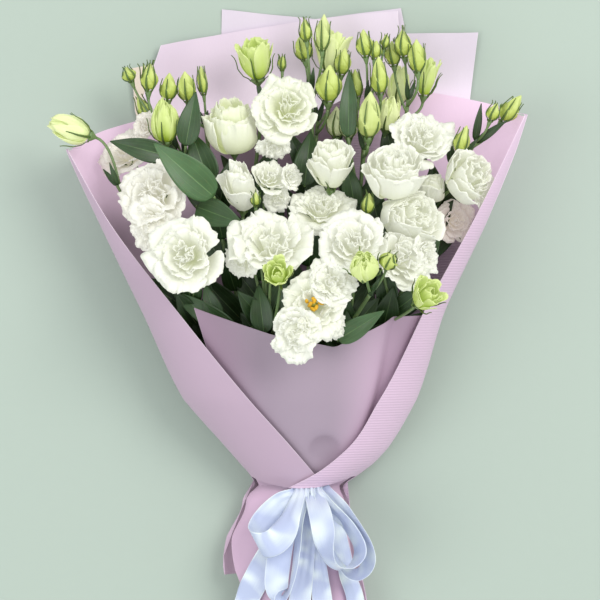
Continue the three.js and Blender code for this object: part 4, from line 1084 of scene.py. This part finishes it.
def make_ribbon(context):
    looks = context.scene.bouquet_ribbon
    satin = satin_finish("satin", looks.satin, looks.shade)
    band = new_grid("ribbon_band", 144, 16)
    set_corners(band, band_points(*grid_places(band)))
    merge(band)
    dress(thickened(band, looks.thickness), satin, ["ribbon"])

    knot = new_round("ribbon_knot", 48, 32)
    places = corners(knot)
    turn = np.arctan2(places[:, 2], places[:, 0])
    pinch = 1 + 0.07 * np.sin(turn * 5 + places[:, 1] * 3) + 0.04 * np.sin(turn * 11 - places[:, 1] * 6)
    set_corners(knot, places * pinch[:, None] * np.array(KNOT_SIZE) + np.array(KNOT))
    dress(knot, satin, ["ribbon"])

    runs = {**LOOP_RUNS, **{name: tail_stations(rows) for name, rows in TAIL_RUNS.items()}}
    for name, stations in runs.items():
        strip = new_grid(name, 14, 14 * len(stations))
        set_corners(strip, ribbon_points(stations, *grid_places(strip)))
        dress(thickened(strip, looks.thickness), satin, ["ribbon"])


# ---------------------------------------------------------------- blooms
Bloom = namedtuple("Bloom", "number radius axis fork fresh ruffle form depth foot heart")


# How far behind the middle of the face the foot and the heart lie, as shares of the depth.
FOOT_BACK, HEART_BACK = 0.75, 0.35


def a_bloom(number, middle, radius, face, openness, fork, fresh, ruffle, form):
    """A bloom whose foot and heart lie behind the middle of its face; an open one is shallower."""
    axis = unit(face)
    depth = radius * (1.35 - 0.5 * openness) * DEEPER[form]
    return Bloom(number, radius, axis, fork, fresh, ruffle, form, depth,
                 np.array(middle) - FOOT_BACK * depth * axis,
                 np.array(middle) - HEART_BACK * depth * axis)


BLOOMS = [a_bloom(number, *row) for number, row in enumerate(BLOOM_TABLE, 1)]
LARGE_RADIUS = 27
# Petals in each whorl, from the outside in; the bloom that shows its stamens lacks the inner whorls.
LARGE_COUNTS, SMALL_COUNTS, STAMEN_COUNTS = [5, 5, 5, 5, 5, 4], [5, 5, 4, 4], [5, 6, 5, 5]
STAMEN_BLOOM, STAMEN_REACH = 12, 0.58

# Section of a petal, as shares of the bloom's radius and depth, in the outermost whorl and in the
# innermost: four control points' radii, and their heights.
PETAL_FORMS = {
    "open": (((0.05, 0.46, 0.62, 1.08), (0.0, 0.05, 0.84, 0.58)),
             ((0.04, 0.12, 0.13, 0.10), (0.12, 0.40, 0.80, 1.0))),
    "cup": (((0.10, 0.98, 0.80, 1.08), (0.0, 0.0, 0.60, 0.82)),
            ((0.05, 0.26, 0.20, 0.14), (0.1, 0.3, 0.88, 1.06))),
    "goblet": (((0.10, 0.56, 0.86, 1.12), (0.0, 0.04, 0.48, 0.64)),
               ((0.05, 0.40, 0.50, 0.24), (0.1, 0.3, 0.82, 1.02))),
    "rose": (((0.10, 1.08, 1.10, 1.00), (0.0, -0.02, 0.50, 0.70)),
             ((0.05, 0.50, 0.60, 0.30), (0.1, 0.3, 0.84, 1.04))),
    "egg": (((0.12, 1.02, 1.22, 0.34), (0.0, 0.0, 0.60, 0.98)),
            ((0.06, 0.55, 0.50, 0.06), (0.05, 0.1, 0.75, 1.0))),
    "bud": (((0.12, 0.86, 0.76, 1.24), (0.0, 0.04, 0.60, 0.92)),
            ((0.06, 0.55, 0.50, 0.08), (0.05, 0.1, 0.75, 1.0))),
}
DOMED = 0.6  # under 1, the middle whorls stand nearly as high as the innermost


def whorl_section(form, inwards):
    """Radius and height along a petal of the whorl that lies `inwards`, from 0 to 1."""
    outer, inner = (np.array(section) for section in PETAL_FORMS[form])
    return outer + (inner - outer) * np.array([[inwards], [inwards**DOMED]])


PRESS_GAP = 0.4
PRESS_SOFT = 5.0  # over this depth a petal gives way to what it meets


def yielded(over):
    """How far a point moves back that is `over` past where the yielding starts."""
    return over - PRESS_SOFT * (1 - np.exp(-over / PRESS_SOFT))


def pressed(points, bloom):
    """Petals that meet a neighbouring bloom give way to it."""
    for other in BLOOMS:
        apart = other.heart - bloom.heart
        distance = np.linalg.norm(apart)
        if other.number == bloom.number or distance > (bloom.radius + other.radius) * 1.15:
            continue
        apart = apart / distance
        wall = distance * bloom.radius / (bloom.radius + other.radius) - PRESS_GAP
        over = np.maximum((points - bloom.heart) @ apart - (wall - PRESS_SOFT), 0)
        points = points - yielded(over)[:, None] * apart
    return points


PETAL_CLEAR = 3.5  # between petals and paper
FREE = 999  # further off than any piece


def inside_flaps(points):
    """Petals that meet the paper of the flaps give way to it; over the flaps' edges they are free."""
    x, y, z = points.T
    middle, half, side, crown, _ = section_at(y)
    upper = z > side
    rise = np.clip((z - side) / np.where(upper, crown - side, side), -0.98, 0.98)
    reach = (half - PETAL_CLEAR) * np.sqrt(1 - rise**2)
    east = np.maximum(middle + reach, np.where(upper, flowing(RIGHT_EDGE, y)[0] - PETAL_CLEAR, -FREE))
    west = np.minimum(middle - reach, np.where(upper, flowing(LEFT_EDGE, y)[0] + PETAL_CLEAR, FREE))
    past_east = np.maximum(x - east + PRESS_SOFT, 0)
    past_west = np.maximum(west - x + PRESS_SOFT, 0)
    return np.stack([x - yielded(past_east) + yielded(past_west), y, z], axis=-1)


def ripple(x, draw, lowest, highest):
    """A wavy number along x, of random waves between two frequencies."""
    waves = [np.sin(2 * np.pi * (draw.uniform(lowest, highest) * x + draw.uniform(0, 1))) for _ in range(3)]
    return sum(waves) / 2


def crumple(points, draw, wavelength, amount):
    """Uneven swelling, so that no petal keeps a perfect section."""
    moved = np.zeros_like(points)
    for _ in range(4):
        wave = points @ unit(draw.normal(size=3)) * 2 * np.pi / wavelength + draw.uniform(0, 2 * np.pi)
        moved += np.sin(wave)[:, None] * unit(draw.normal(size=3))
    return points + amount * moved / 2


FOOT_SHARE = {"goblet": 0.8, "rose": 0.85, "cup": 0.75, "egg": 0.8}  # how broad a petal's foot is


def petal_points(bloom, inwards, turn, span, draw, s, t, point=0.0):
    """One petal: it leaves the foot narrow, widens, and ends in a ruffled rim or in a point."""
    across = 2 * s - 1
    off_middle = np.abs(across)
    rim = (1 - 0.09 * off_middle**2 - 0.19 * off_middle**6 - point * off_middle**1.4
           + 0.022 * ripple(s, draw, 2, 5) + 0.010 * ripple(s, draw, 8, 14))
    way = t * rim * draw.uniform(0.86, 1.06)
    radii, heights = whorl_section(bloom.form, np.clip(inwards + draw.uniform(-0.15, 0.15), 0, 1))
    radius = bloom.radius * bezier(radii, way)
    height = bloom.depth * bezier(heights, way)
    slope = unit(np.stack([bloom.radius * bezier_slope(radii, way),
                           bloom.depth * bezier_slope(heights, way)], axis=-1))
    swell = (0.10 * ripple(s, draw, 0.9, 2.3) * way**3 + 0.040 * ripple(s, draw, 3.5, 6.5) * way**6
             + 0.020 * ripple(s, draw, 8.0, 13.0) * way**11)
    swell = swell * bloom.radius * bloom.ruffle
    cupped = 0.05 * bloom.radius * draw.uniform(-0.6, 1.2) * (across**2 - 0.3) * way**3
    radius = radius * (1 + 0.07 * across) + swell * slope[:, 1]
    height = height - swell * slope[:, 0] + cupped + SEAT + bloom.depth * draw.uniform(-0.05, 0.08) * way
    broad = FOOT_SHARE.get(bloom.form, 0.55)
    angle = turn + across * span * (broad + (1 - broad) * way) + 0.06 * ripple(s, draw, 1, 3) * way**3
    return round_axis(bloom.foot, bloom.axis, height, radius, angle)


def whorls_of(bloom):
    """The whorls of a bloom from the outside in: how far in, petals, and half the turn of one."""
    counts, reach = LARGE_COUNTS if bloom.radius >= LARGE_RADIUS else SMALL_COUNTS, 1.0
    if bloom.number == STAMEN_BLOOM:
        counts, reach = STAMEN_COUNTS, STAMEN_REACH
    last = len(counts) - 1
    return [(reach * i / last, count, 1.4 * np.pi / count) for i, count in enumerate(counts)]


def whorl_petals(bloom, whorls, patterns, draw, press=True):
    """The petals of some whorls, as loose sheets."""
    petals = []
    turn = draw.uniform(0, 2 * np.pi)
    drawn_out, long_side = OVALS.get(bloom.number, (0, 0))
    for inwards, count, span in whorls:
        pattern = patterns[0] if inwards < 0.5 else patterns[1]
        turn += np.pi / count
        s, t = grid_places(pattern)
        for i in range(count):
            here = turn + 2 * np.pi * i / count + draw.uniform(-0.42, 0.42)
            aim = outwards(bloom.axis, here)
            aside = np.arctan2(aim[1], aim[0]) - np.radians(long_side)
            grown = bloom._replace(radius=bloom.radius * (1 + drawn_out * np.cos(2 * aside)))
            points = petal_points(grown, inwards, here, span, draw, s, t)
            points = crumple(points, draw, 0.9 * bloom.radius, 0.03 * bloom.radius)
            points = inside_flaps(pressed(points, bloom) if press else points)
            young = bloom.fresh * (1 + inwards) + 0.05 * inwards**2 + draw.uniform(-0.03, 0.03)
            petals.append(write(set_corners(copied(pattern, "petal"), points), fresh=young,
                                blush=BLUSH.get(bloom.number, 0)))
    return petals


# Whorls of a tuft: how far in, petals, and half the turn of one.
TUFT_WHORLS = [(0.0, 6, 0.95), (0.16, 6, 0.9), (0.4, 5, 0.9), (0.7, 4, 1.0), (0.95, 3, 1.2)]


def make_blooms(context):
    looks = context.scene.bouquet_blooms
    white = petal_finish("petal", looks.petal, looks.claw, PETAL_GLOW)
    patterns = [new_grid("outer_petal", 48, 10), new_grid("inner_petal", 32, 8)]
    small = [new_grid("outer_tuft_petal", 42, 9), new_grid("inner_tuft_petal", 28, 8)]
    for bloom in BLOOMS:
        draw = np.random.default_rng(BLOOM_SEED + bloom.number)
        petals = whorl_petals(bloom, whorls_of(bloom), patterns, draw)
        for number, middle, radius, face in TUFTS:
            if number == bloom.number:
                tuft = a_bloom(number, middle, radius, face, openness=0.9, fork=bloom.fork,
                               fresh=0.0, ruffle=1.3, form="open")
                petals += whorl_petals(tuft, TUFT_WHORLS, small, draw, press=False)
        flower = thickened(joined(petals, f"bloom_petals_{bloom.number:02d}"), looks.thickness)
        dress(flower, white, [f"bloom_{bloom.number:02d}"])
    for pattern in patterns + small:
        bpy.data.objects.remove(pattern)


STAMENS = 7
THREAD_STATIONS = 8
PISTIL_RADII = [3.4, 3.6, 2.6, 1.5, 1.2, 1.2, 2.2, 2.6]


def make_stamens(context):
    """Thin filaments with anthers at their tips, bent out round a pistil."""
    looks = context.scene.bouquet_blooms
    bloom = BLOOMS[STAMEN_BLOOM - 1]
    draw = np.random.default_rng(STAMEN_SEED)
    base = bloom.foot + bloom.axis * 0.25 * bloom.depth
    filament = plain_finish("filament", FILAMENT, 0.5)
    anther = plain_finish("anther", looks.anther, 0.7, 900.0)
    pistil = plain_finish("pistil", looks.pistil, 0.4)
    pattern = new_round("thread", 8, THREAD_STATIONS + 1)
    share = np.linspace(0, 1, THREAD_STATIONS)[:, None]
    parts = []
    for i in range(STAMENS):
        out = outwards(bloom.axis, 2 * np.pi * i / STAMENS + draw.uniform(-0.6, 0.6))
        line = base + bloom.axis * share * 0.6 * bloom.depth + out * (1.6 + draw.uniform(1, 5) * share**2)
        thread = stick(pattern, "filament", line, 0.5)
        thread.data.materials.append(filament)
        along = unit(out * 0.6 + bloom.axis * 0.3 + draw.uniform(-0.7, 0.7, 3))
        head = line[-1] + np.outer(np.linspace(-2.7, 2.7, THREAD_STATIONS), along)
        fat = 1.7 * np.sin(np.linspace(0.5, np.pi - 0.5, THREAD_STATIONS)) ** 0.6
        tip = stick(pattern, "anther", head, fat)
        tip.data.materials.append(anther)
        parts += [thread, tip]
    column = base + bloom.axis * share * 0.62 * bloom.depth
    style = stick(pattern, "pistil", column, np.array(PISTIL_RADII))
    style.data.materials.append(pistil)
    parts.append(style)
    bpy.data.objects.remove(pattern)
    dress(joined(parts, "stamens_and_pistil"), None, ["stamens"])


# ---------------------------------------------------------------- buds
Bud = namedtuple("Bud", "number middle length width axis foot fork kind")


def a_bud(number, middle, length, width, way, fork, kind):
    axis = unit(way)
    return Bud(number, middle, length, width, axis, np.array(middle) - axis * length / 2, fork, kind)


BUDS = [a_bud(number, *row) for number, row in enumerate(BUD_TABLE, 1)]
GREEN = 0.82  # how green an opening bud is, except these
BUD_FRESH = {1: -0.05, 14: 0.55, 20: 0.0, 37: 0.0, 38: 0.05}
EGGS = {1, 7, 14, 37, 38}  # opening buds whose tips still meet
BUD_PALE = {19: 0.25, 28: 0.2, 39: 0.75, 40: 0.7}  # closed buds that already turn white
# How wide a bud is along its length, as shares of both: a closed one, and one that opens.
BUD_SECTION = [[0, 0.3], [0.08, 0.64], [0.2, 0.9], [0.35, 1], [0.52, 0.9], [0.7, 0.64], [0.86, 0.34],
               [1, 0.05]]
CUP_SECTION = [[0, 0.35], [0.1, 0.72], [0.3, 1.0], [0.6, 0.96], [1, 1.1]]
# Whorls of an opening bud: how far in, petals, and how pointed they are.
BUD_WHORLS = [(0.0, 5, 0.36), (0.22, 5, 0.26), (0.55, 4, 0.14), (0.95, 3, 0.05)]


def bud_body(bud, pattern):
    """A closed bud: five petals wound round each other to a twisted tip."""
    places = corners(pattern)
    high = 1 - np.arccos(np.clip(places[:, 2], -1, 1)) / np.pi
    turn = np.arctan2(places[:, 1], places[:, 0])
    winding = (turn / (2 * np.pi) * 4 + high * 1.5 + 0.1 * bud.number) % 1
    edge = 0.34 * (winding**2 - 0.35) * np.sin(np.pi * np.clip(high, 0.05, 0.97)) ** 0.5
    reach = bud.width / 2 * sampled(BUD_SECTION, high) * (1 + edge)
    reach = np.where((high > 0.999) | (high < 0.001), 0, reach)
    points = round_axis(bud.foot, bud.axis, high * bud.length + SEAT, reach, turn)
    return set_corners(copied(pattern, "bud"), points)


def opening_bud(bud, pattern, draw):
    """A bud that opens: pointed petals that part at the tip, wrapped round closed ones."""
    fresh = BUD_FRESH.get(bud.number, GREEN)
    form = "egg" if bud.number in EGGS else "bud"
    bloom = Bloom(number=0, radius=bud.width / 2, axis=bud.axis, fork=bud.fork, fresh=fresh,
                  ruffle=0.9, form=form, depth=bud.length, foot=bud.foot, heart=bud.middle)
    petals = []
    s, t = grid_places(pattern)
    for inwards, count, point in BUD_WHORLS:
        start = draw.uniform(0, 2 * np.pi)
        for i in range(count):
            here = start + 2 * np.pi * i / count
            points = petal_points(bloom, inwards, here, 1.3 * np.pi / count, draw, s, t, point)
            points = crumple(points, draw, bloom.radius, 0.05 * bloom.radius)
            young = fresh + 0.2 * inwards + draw.uniform(-0.1, 0.1)
            petals.append(write(set_corners(copied(pattern, "petal"), points), fresh=young))
    return petals


def make_buds(context):
    greens, petals = context.scene.bouquet_greens, context.scene.bouquet_blooms
    shut = bud_finish("closed_bud", greens.bud, BUD_TIP, BUD_GLOW)
    cream = petal_finish("opening_bud", greens.bud_cream, YOUNG_PETAL, OPENING_GLOW)
    sheet = new_grid("bud_petal", 20, 11)
    body = new_round("bud_body", 60, 30)
    for bud in BUDS:
        name = f"bud_{bud.number:02d}"
        draw = np.random.default_rng(BUD_SEED + bud.number)
        if bud.kind == "open":
            piece = joined(opening_bud(bud, sheet, draw), f"opening_{name}")
            dress(thickened(piece, petals.thickness), cream, [name])
        elif bud.kind == "shut":
            piece = joined([bud_body(bud, body)], f"closed_{name}")
            dress(write(piece, pale=BUD_PALE.get(bud.number, 0)), shut, [name])
    for number in SPRAYS:
        found = [bud for bud in BUDS if bud.kind == "small" and of_spray(bud.fork, number)]
        if found:
            piece = joined([bud_body(bud, body) for bud in found], f"spray_buds_{number:02d}")
            dress(piece, shut, [f"spray_{number:02d}"])
    for pattern in (sheet, body):
        bpy.data.objects.remove(pattern)


# ---------------------------------------------------------------- greenery
def of_spray(fork, number):
    return fork.rstrip("abc") == f"s{number}"


def fork_place(name):
    return np.array(FORKS[name][0], float)


def parent_place(name):
    """Where the stem of a fork comes from: the fork below it, or the tie."""
    origin = FORKS[name][1]
    return fork_place(origin) if isinstance(origin, str) else np.array([origin[0], 0, origin[1]])


LEAVE_STEP = 6  # each next stalk leaves its fork this much lower
LONGEST_BEND = 36
STEM_STATIONS = 18
STALK_STATIONS = 10
SEPALS = 5
LEAF_PAIRS = (0.36, 0.48, 0.6, 0.7, 0.79, 0.88, 0.97)  # shares of the way from the tie to the fork


def stalk_line(start, foot, axis):
    """A stalk that comes up under a flower along the flower's axis."""
    end = foot - axis * CALYX_LENGTH
    bend = end - axis * 0.4 * min(np.linalg.norm(start - end), LONGEST_BEND)
    return arc(start, bend, end, np.linspace(0, 1, STALK_STATIONS))


def calyx(pattern, foot, axis, width):
    """The green cup under a flower."""
    share = np.linspace(0, 1, STALK_STATIONS)[:, None]
    line = foot - axis * CALYX_LENGTH * (1 - share)
    fat = STALK_RADIUS + (width - STALK_RADIUS) * np.sin(share[:, 0] * np.pi / 2) ** 1.4
    return stick(pattern, "calyx", line, fat)


def sepal(pattern, foot, axis, angle, length, spread, start_radius, draw, body=None):
    """A long pointed sepal with a keel. On a closed bud it hugs the body, which gives the radius."""
    s, t = grid_places(pattern)
    across = 2 * s - 1
    out = outwards(axis, angle)
    aside = np.cross(axis, out)
    lean = draw.uniform(-0.12, 0.12)
    reach = body(t) + 0.5 + spread * t**4 if body else start_radius + spread * length * t**1.6
    half = 1.1 * (1 - t) ** 0.8 * smooth(t, -0.2, 0.15) + 0.15
    keel = 0.5 * (1 - np.abs(across))
    points = (foot + np.outer(length * t - 1.5, axis) + np.outer(reach + keel, out)
              + np.outer(across * half + lean * length * t**2, aside))
    return write(set_corners(copied(pattern, "sepal"), points), waxy=0.1)


PAPER_CLEAR = 6  # between leaves and paper
COVERED_Y = 165  # up to here the front panel lies over the leaves
OPEN_ROOM = 200  # room over the leaves past it


def kept_inside(points):
    """Points of a leaf that the paper holds back."""
    x, y, z = points.T
    middle, half, side, crown, _ = section_at(y)
    over = np.where(y < COVERED_Y, crown - side - PAPER_CLEAR, OPEN_ROOM)
    room = np.where(z > side, over, side - PAPER_CLEAR - 4)
    out = np.hypot((x - middle) / (half - PAPER_CLEAR), (z - side) / room)
    scale = 1 / np.maximum(out, 1)
    return np.stack([middle + (x - middle) * scale, y, side + (z - side) * scale], axis=-1)


def leaf_blade(pattern, base, tip, width, waxy, draw, inside=False):
    """A leaf that folds up along its midrib, arches over and waves at its edge."""
    s, t = grid_places(pattern)
    base, tip = np.array(base, float), np.array(tip, float)
    length = np.linalg.norm(tip - base)
    crest = (base + tip) / 2 + np.array([0, 0, 0.14 * length])
    rib = arc(base, crest, tip, t)
    side = unit(np.cross(unit(tip - base), [0, 0, 1]))
    across = 2 * s - 1
    outline = np.clip(t, 0, 1) ** 0.5 * (1 - t) ** 1.05 / 0.3773
    half = width / 2 * outline + 0.3
    up = unit(np.cross(side, unit(tip - base)))
    fold = half * (0.26 * np.abs(across) ** 1.3) + 0.5 * np.sin(t * 9 + across * 2) * np.abs(across) ** 2
    droop = -0.05 * length * t**3 * draw.uniform(0.3, 1.5)
    points = rib + np.outer(across * half, side) + np.outer(fold + droop, up)
    points = kept_inside(points) if inside else points
    return write(set_corners(copied(pattern, "leaf"), points), waxy=waxy)


def main_stem(pattern, name):
    """A stem from its cut end through the tie to its fork, the turn at the tie softened."""
    x, z = FORKS[name][1]
    cut = np.array([x * END_SPREAD, STEM_END_Y, z])
    tie = np.array([x, 0, z])
    top = fork_place(name)
    line = np.vstack([np.linspace(cut, tie, 6)[:-1], np.linspace(tie, top, STEM_STATIONS - 5)])
    soft = line.copy()
    soft[1:-1] = (line[:-2] + 2 * line[1:-1] + line[2:]) / 4
    thin = np.linspace(STEM_RADIUS, STEM_RADIUS * 0.8, STEM_STATIONS)
    return stick(pattern, "stem", soft, thin), tie, top


def stem_leaves(pattern, tie, top, draw):
    """Pairs of leaves up a stem, each pair across the one below."""
    leaves = []
    along = unit(top - tie)
    for i, share in enumerate(LEAF_PAIRS):
        root = tie + (top - tie) * share
        turn = 0.5 * np.pi * i + draw.uniform(-0.5, 0.5)
        for side in (1, -1):
            out = side * outwards(along, turn)
            length = draw.uniform(40, 62)
            tip = root + along * length * 0.85 + out * length * 0.5
            tip[2] = np.clip(tip[2], 24, root[2] + 22)
            width, waxy = draw.uniform(16, 23), draw.uniform(0, 0.12)
            leaves.append(leaf_blade(pattern, root + out * 1.5, tip, width, waxy, draw, inside=True))
    return leaves


def bract_pair(pattern, place, along, size, draw):
    """Two small narrow leaves at a fork."""
    out = outwards(along, draw.uniform(0, np.pi))
    return [
        leaf_blade(pattern, place + side * out, place + along * size * 0.9 + side * out * size * 0.4,
                   0.19 * size, 0.1, draw)
        for side in (1, -1)
    ]


SEPAL_SHARES = {"open": (0.6, 0.75), "shut": (0.8, 0.95), "small": (0.95, 1.25)}  # of a bud's length
LARGER_BRACTS = {6: 1.6}  # sprays whose bracts are larger, and how much


def spray_parts(number, patterns):
    """Everything green of one spray: stems, twigs, stalks, cups, sepals, leaves and bracts."""
    draw = np.random.default_rng(SPRAY_SEED + number)
    long_stick, short_stick, leaf_sheet, small_sheet = patterns
    taken = {}

    def leave(name):
        taken[name] = taken.get(name, -1) + 1
        down = unit(parent_place(name) - fork_place(name))
        return fork_place(name) + down * LEAVE_STEP * taken[name]

    parts = {"stem": [], "leaf": [], "sepal": []}
    for name in (n for n in FORKS if of_spray(n, number)):
        if isinstance(FORKS[name][1], str):
            start, top = leave(FORKS[name][1]), fork_place(name)
            bend = (start + top) / 2 + np.array([0, 0, -0.06 * np.linalg.norm(top - start)])
            line = arc(start, bend, top, np.linspace(0, 1, STALK_STATIONS))
            parts["stem"].append(stick(short_stick, "twig", line, TWIG_RADIUS))
            size = draw.uniform(17, 26) * LARGER_BRACTS.get(number, 1)
            parts["leaf"] += bract_pair(small_sheet, top, unit(top - start), size, draw)
        else:
            stem, tie, top = main_stem(long_stick, name)
            parts["stem"].append(stem)
            parts["leaf"] += stem_leaves(leaf_sheet, tie, top, draw)
    for bloom in (b for b in BLOOMS if of_spray(b.fork, number)):
        line = stalk_line(leave(bloom.fork), bloom.foot, bloom.axis)
        parts["stem"].append(stick(short_stick, "stalk", line, STALK_RADIUS))
        parts["stem"].append(calyx(short_stick, bloom.foot, bloom.axis, CALYX_RADIUS))
        for i in range(SEPALS):
            angle = 2 * np.pi * i / SEPALS + draw.uniform(-0.2, 0.2)
            length = draw.uniform(13, 18)
            parts["sepal"].append(sepal(small_sheet, bloom.foot, bloom.axis, angle, length,
                                        0.75, CALYX_RADIUS, draw))
    for bud in (b for b in BUDS if of_spray(b.fork, number)):
        line = stalk_line(leave(bud.fork), bud.foot, bud.axis)
        slim = STALK_RADIUS * (0.85 if bud.kind == "small" else 1)
        parts["stem"].append(stick(short_stick, "stalk", line, slim))
        parts["stem"].append(calyx(short_stick, bud.foot, bud.axis, 0.21 * bud.width))
        length = bud.length * draw.uniform(*SEPAL_SHARES[bud.kind])
        section = CUP_SECTION if bud.kind == "open" else BUD_SECTION

        def body(t, bud=bud, length=length, section=section):
            return bud.width / 2 * sampled(section, (length * t - 1.5) / bud.length)

        for i in range(SEPALS):
            angle = 2 * np.pi * i / SEPALS + draw.uniform(-0.15, 0.15)
            parts["sepal"].append(sepal(small_sheet, bud.foot, bud.axis, angle, length,
                                        draw.uniform(1.5, 5.5), 0.3 * bud.width, draw, body))
    for base, tip, width, fork, waxy in (row for row in LEAF_TABLE if of_spray(row[3], number)):
        root, base = fork_place(fork), np.array(base, float)
        bend = (root + base) / 2 + unit(base - np.array(tip)) * 3
        line = arc(root, bend, base, np.linspace(0, 1, STALK_STATIONS))
        parts["stem"].append(stick(short_stick, "leaf_stalk", line, 1.2))
        parts["leaf"].append(leaf_blade(leaf_sheet, base, tip, width, waxy, draw))
    return parts


def make_greenery(context):
    looks = context.scene.bouquet_greens
    finishes = {
        "stem": stem_finish("stem", looks.stem),
        "leaf": leaf_finish("leaf", looks.leaf, looks.wax),
        "sepal": leaf_finish("sepal", looks.sepal, looks.bud),
    }
    patterns = (
        new_round("long_stick", 10, STEM_STATIONS + 1), new_round("short_stick", 10, STALK_STATIONS + 1),
        new_grid("leaf_sheet", 12, 20), new_grid("small_sheet", 4, 10),
    )
    for number in SPRAYS:
        parts = spray_parts(number, patterns)
        groups = []
        for kind, found in parts.items():
            group = joined(found, f"{kind}_group")
            if kind != "stem":
                thickened(group, looks.leaf_thickness)
            group.data.materials.clear()
            group.data.materials.append(finishes[kind])
            groups.append(group)
        dress(joined(groups, f"greenery_{number:02d}"), None, [f"spray_{number:02d}"])
    for pattern in patterns:
        bpy.data.objects.remove(pattern)


# ---------------------------------------------------------------- stage
VIEW_MIDDLE = (-0.002, 0.1728)  # what the camera looks straight down on
SENSOR = 36
VIEW_WIDTH = 0.54  # width of the view at the height of the flowers
FLOWER_HEIGHT = 0.06
FLOOR_SIZE = 8
LIGHT_TARGET = (0, 0.15, 0.05)
KEY_PLACE, KEY_SIZE, KEY_COLOUR = (1.3, 1.3, 2.4), 1.5, (1.0, 0.985, 0.97)
FILL_PLACE, FILL_SIZE, SKY_COLOUR = (-1.6, -0.3, 2.2), 2.0, (0.96, 0.98, 1.0)


def aimed(location, target):
    """Rotation that points a light from location to target."""
    from_there = np.array(target) - np.array(location)
    return Vector(from_there).to_track_quat("-Z", "Y").to_euler()


def soft_light(name, location, size, power, colour):
    bpy.ops.object.light_add(type="AREA", location=location, rotation=aimed(location, LIGHT_TARGET))
    light = bpy.context.object
    light.name = name
    light.data.shape = "DISK"
    light.data.size = size
    light.data.energy = power
    light.data.color = colour


def make_stage(context):
    looks = context.scene.bouquet_stage
    nothing_selected()
    bpy.ops.object.camera_add(location=(*VIEW_MIDDLE, looks.height), rotation=(0, 0, 0))
    camera = bpy.context.object
    camera.data.sensor_width = SENSOR
    camera.data.lens = SENSOR * (looks.height - FLOWER_HEIGHT) / VIEW_WIDTH
    context.scene.camera = camera
    soft_light("key_light", KEY_PLACE, KEY_SIZE, looks.key, KEY_COLOUR)
    soft_light("fill_light", FILL_PLACE, FILL_SIZE, looks.fill, SKY_COLOUR)
    world = bpy.data.worlds.new("soft_sky")
    context.scene.world = world
    world.use_nodes = True
    background = world.node_tree.nodes["Background"]
    background.inputs["Color"].default_value = (*SKY_COLOUR, 1)
    background.inputs["Strength"].default_value = looks.sky
    context.scene.view_settings.view_transform = "Standard"
    nothing_selected()
    bpy.ops.mesh.primitive_plane_add(size=FLOOR_SIZE, location=(0, 0, 0))
    floor = bpy.context.object
    floor.name = "floor"
    floor.data.materials.append(plain_finish("floor", looks.floor, 0.8, 90.0, 0.03))


# ---------------------------------------------------------------- operators and panel
class BOUQUET_OT_stage(bpy.types.Operator):
    """Set up the camera, the lights and the floor"""

    bl_idname = "bouquet.stage"
    bl_label = "Stage"

    def execute(self, context):
        make_stage(context)
        return {"FINISHED"}


class BOUQUET_OT_paper(bpy.types.Operator):
    """Wrap the bouquet in its sheets of paper"""

    bl_idname = "bouquet.paper"
    bl_label = "Paper"

    def execute(self, context):
        make_paper(context)
        return {"FINISHED"}


class BOUQUET_OT_ribbon(bpy.types.Operator):
    """Tie the satin bow"""

    bl_idname = "bouquet.ribbon"
    bl_label = "Ribbon"

    def execute(self, context):
        make_ribbon(context)
        return {"FINISHED"}


class BOUQUET_OT_blooms(bpy.types.Operator):
    """Open the ruffled blooms"""

    bl_idname = "bouquet.blooms"
    bl_label = "Blooms"

    def execute(self, context):
        make_blooms(context)
        return {"FINISHED"}


class BOUQUET_OT_stamens(bpy.types.Operator):
    """Set the stamens and the pistil in the bloom that shows them"""

    bl_idname = "bouquet.stamens"
    bl_label = "Stamens"

    def execute(self, context):
        make_stamens(context)
        return {"FINISHED"}


class BOUQUET_OT_buds(bpy.types.Operator):
    """Place the closed and the opening buds"""

    bl_idname = "bouquet.buds"
    bl_label = "Buds"

    def execute(self, context):
        make_buds(context)
        return {"FINISHED"}


class BOUQUET_OT_greenery(bpy.types.Operator):
    """Grow stems, leaves and sepals"""

    bl_idname = "bouquet.greenery"
    bl_label = "Greenery"

    def execute(self, context):
        make_greenery(context)
        return {"FINISHED"}


OPERATORS = [
    BOUQUET_OT_stage,
    BOUQUET_OT_paper,
    BOUQUET_OT_ribbon,
    BOUQUET_OT_blooms,
    BOUQUET_OT_stamens,
    BOUQUET_OT_buds,
    BOUQUET_OT_greenery,
]


class BOUQUET_PT_sidebar(bpy.types.Panel):
    """Lists the bouquet's settings and operators."""

    bl_label = "Lisianthus Bouquet"
    bl_space_type = "VIEW_3D"
    bl_region_type = "UI"
    bl_category = "Bouquet"

    def draw(self, context):
        for setting, group in SETTINGS.items():
            box = self.layout.box()
            box.label(text=group.__doc__)
            for name in group.__annotations__:
                box.prop(getattr(context.scene, setting), name)
        for operator in OPERATORS:
            self.layout.operator(operator.bl_idname)


def register():
    for group in SETTINGS.values():
        bpy.utils.register_class(group)
    for setting, group in SETTINGS.items():
        setattr(bpy.types.Scene, setting, bpy.props.PointerProperty(type=group))
    for operator in (*OPERATORS, BOUQUET_PT_sidebar):
        bpy.utils.register_class(operator)


def unregister():
    for operator in reversed((*OPERATORS, BOUQUET_PT_sidebar)):
        bpy.utils.unregister_class(operator)
    for setting, group in SETTINGS.items():
        delattr(bpy.types.Scene, setting)
        bpy.utils.unregister_class(group)


def main():
    register()
    bpy.ops.bouquet.stage()
    bpy.ops.bouquet.paper()
    bpy.ops.bouquet.ribbon()
    bpy.ops.bouquet.blooms()
    bpy.ops.bouquet.stamens()
    bpy.ops.bouquet.buds()
    bpy.ops.bouquet.greenery()


if __name__ == "__main__":
    main()
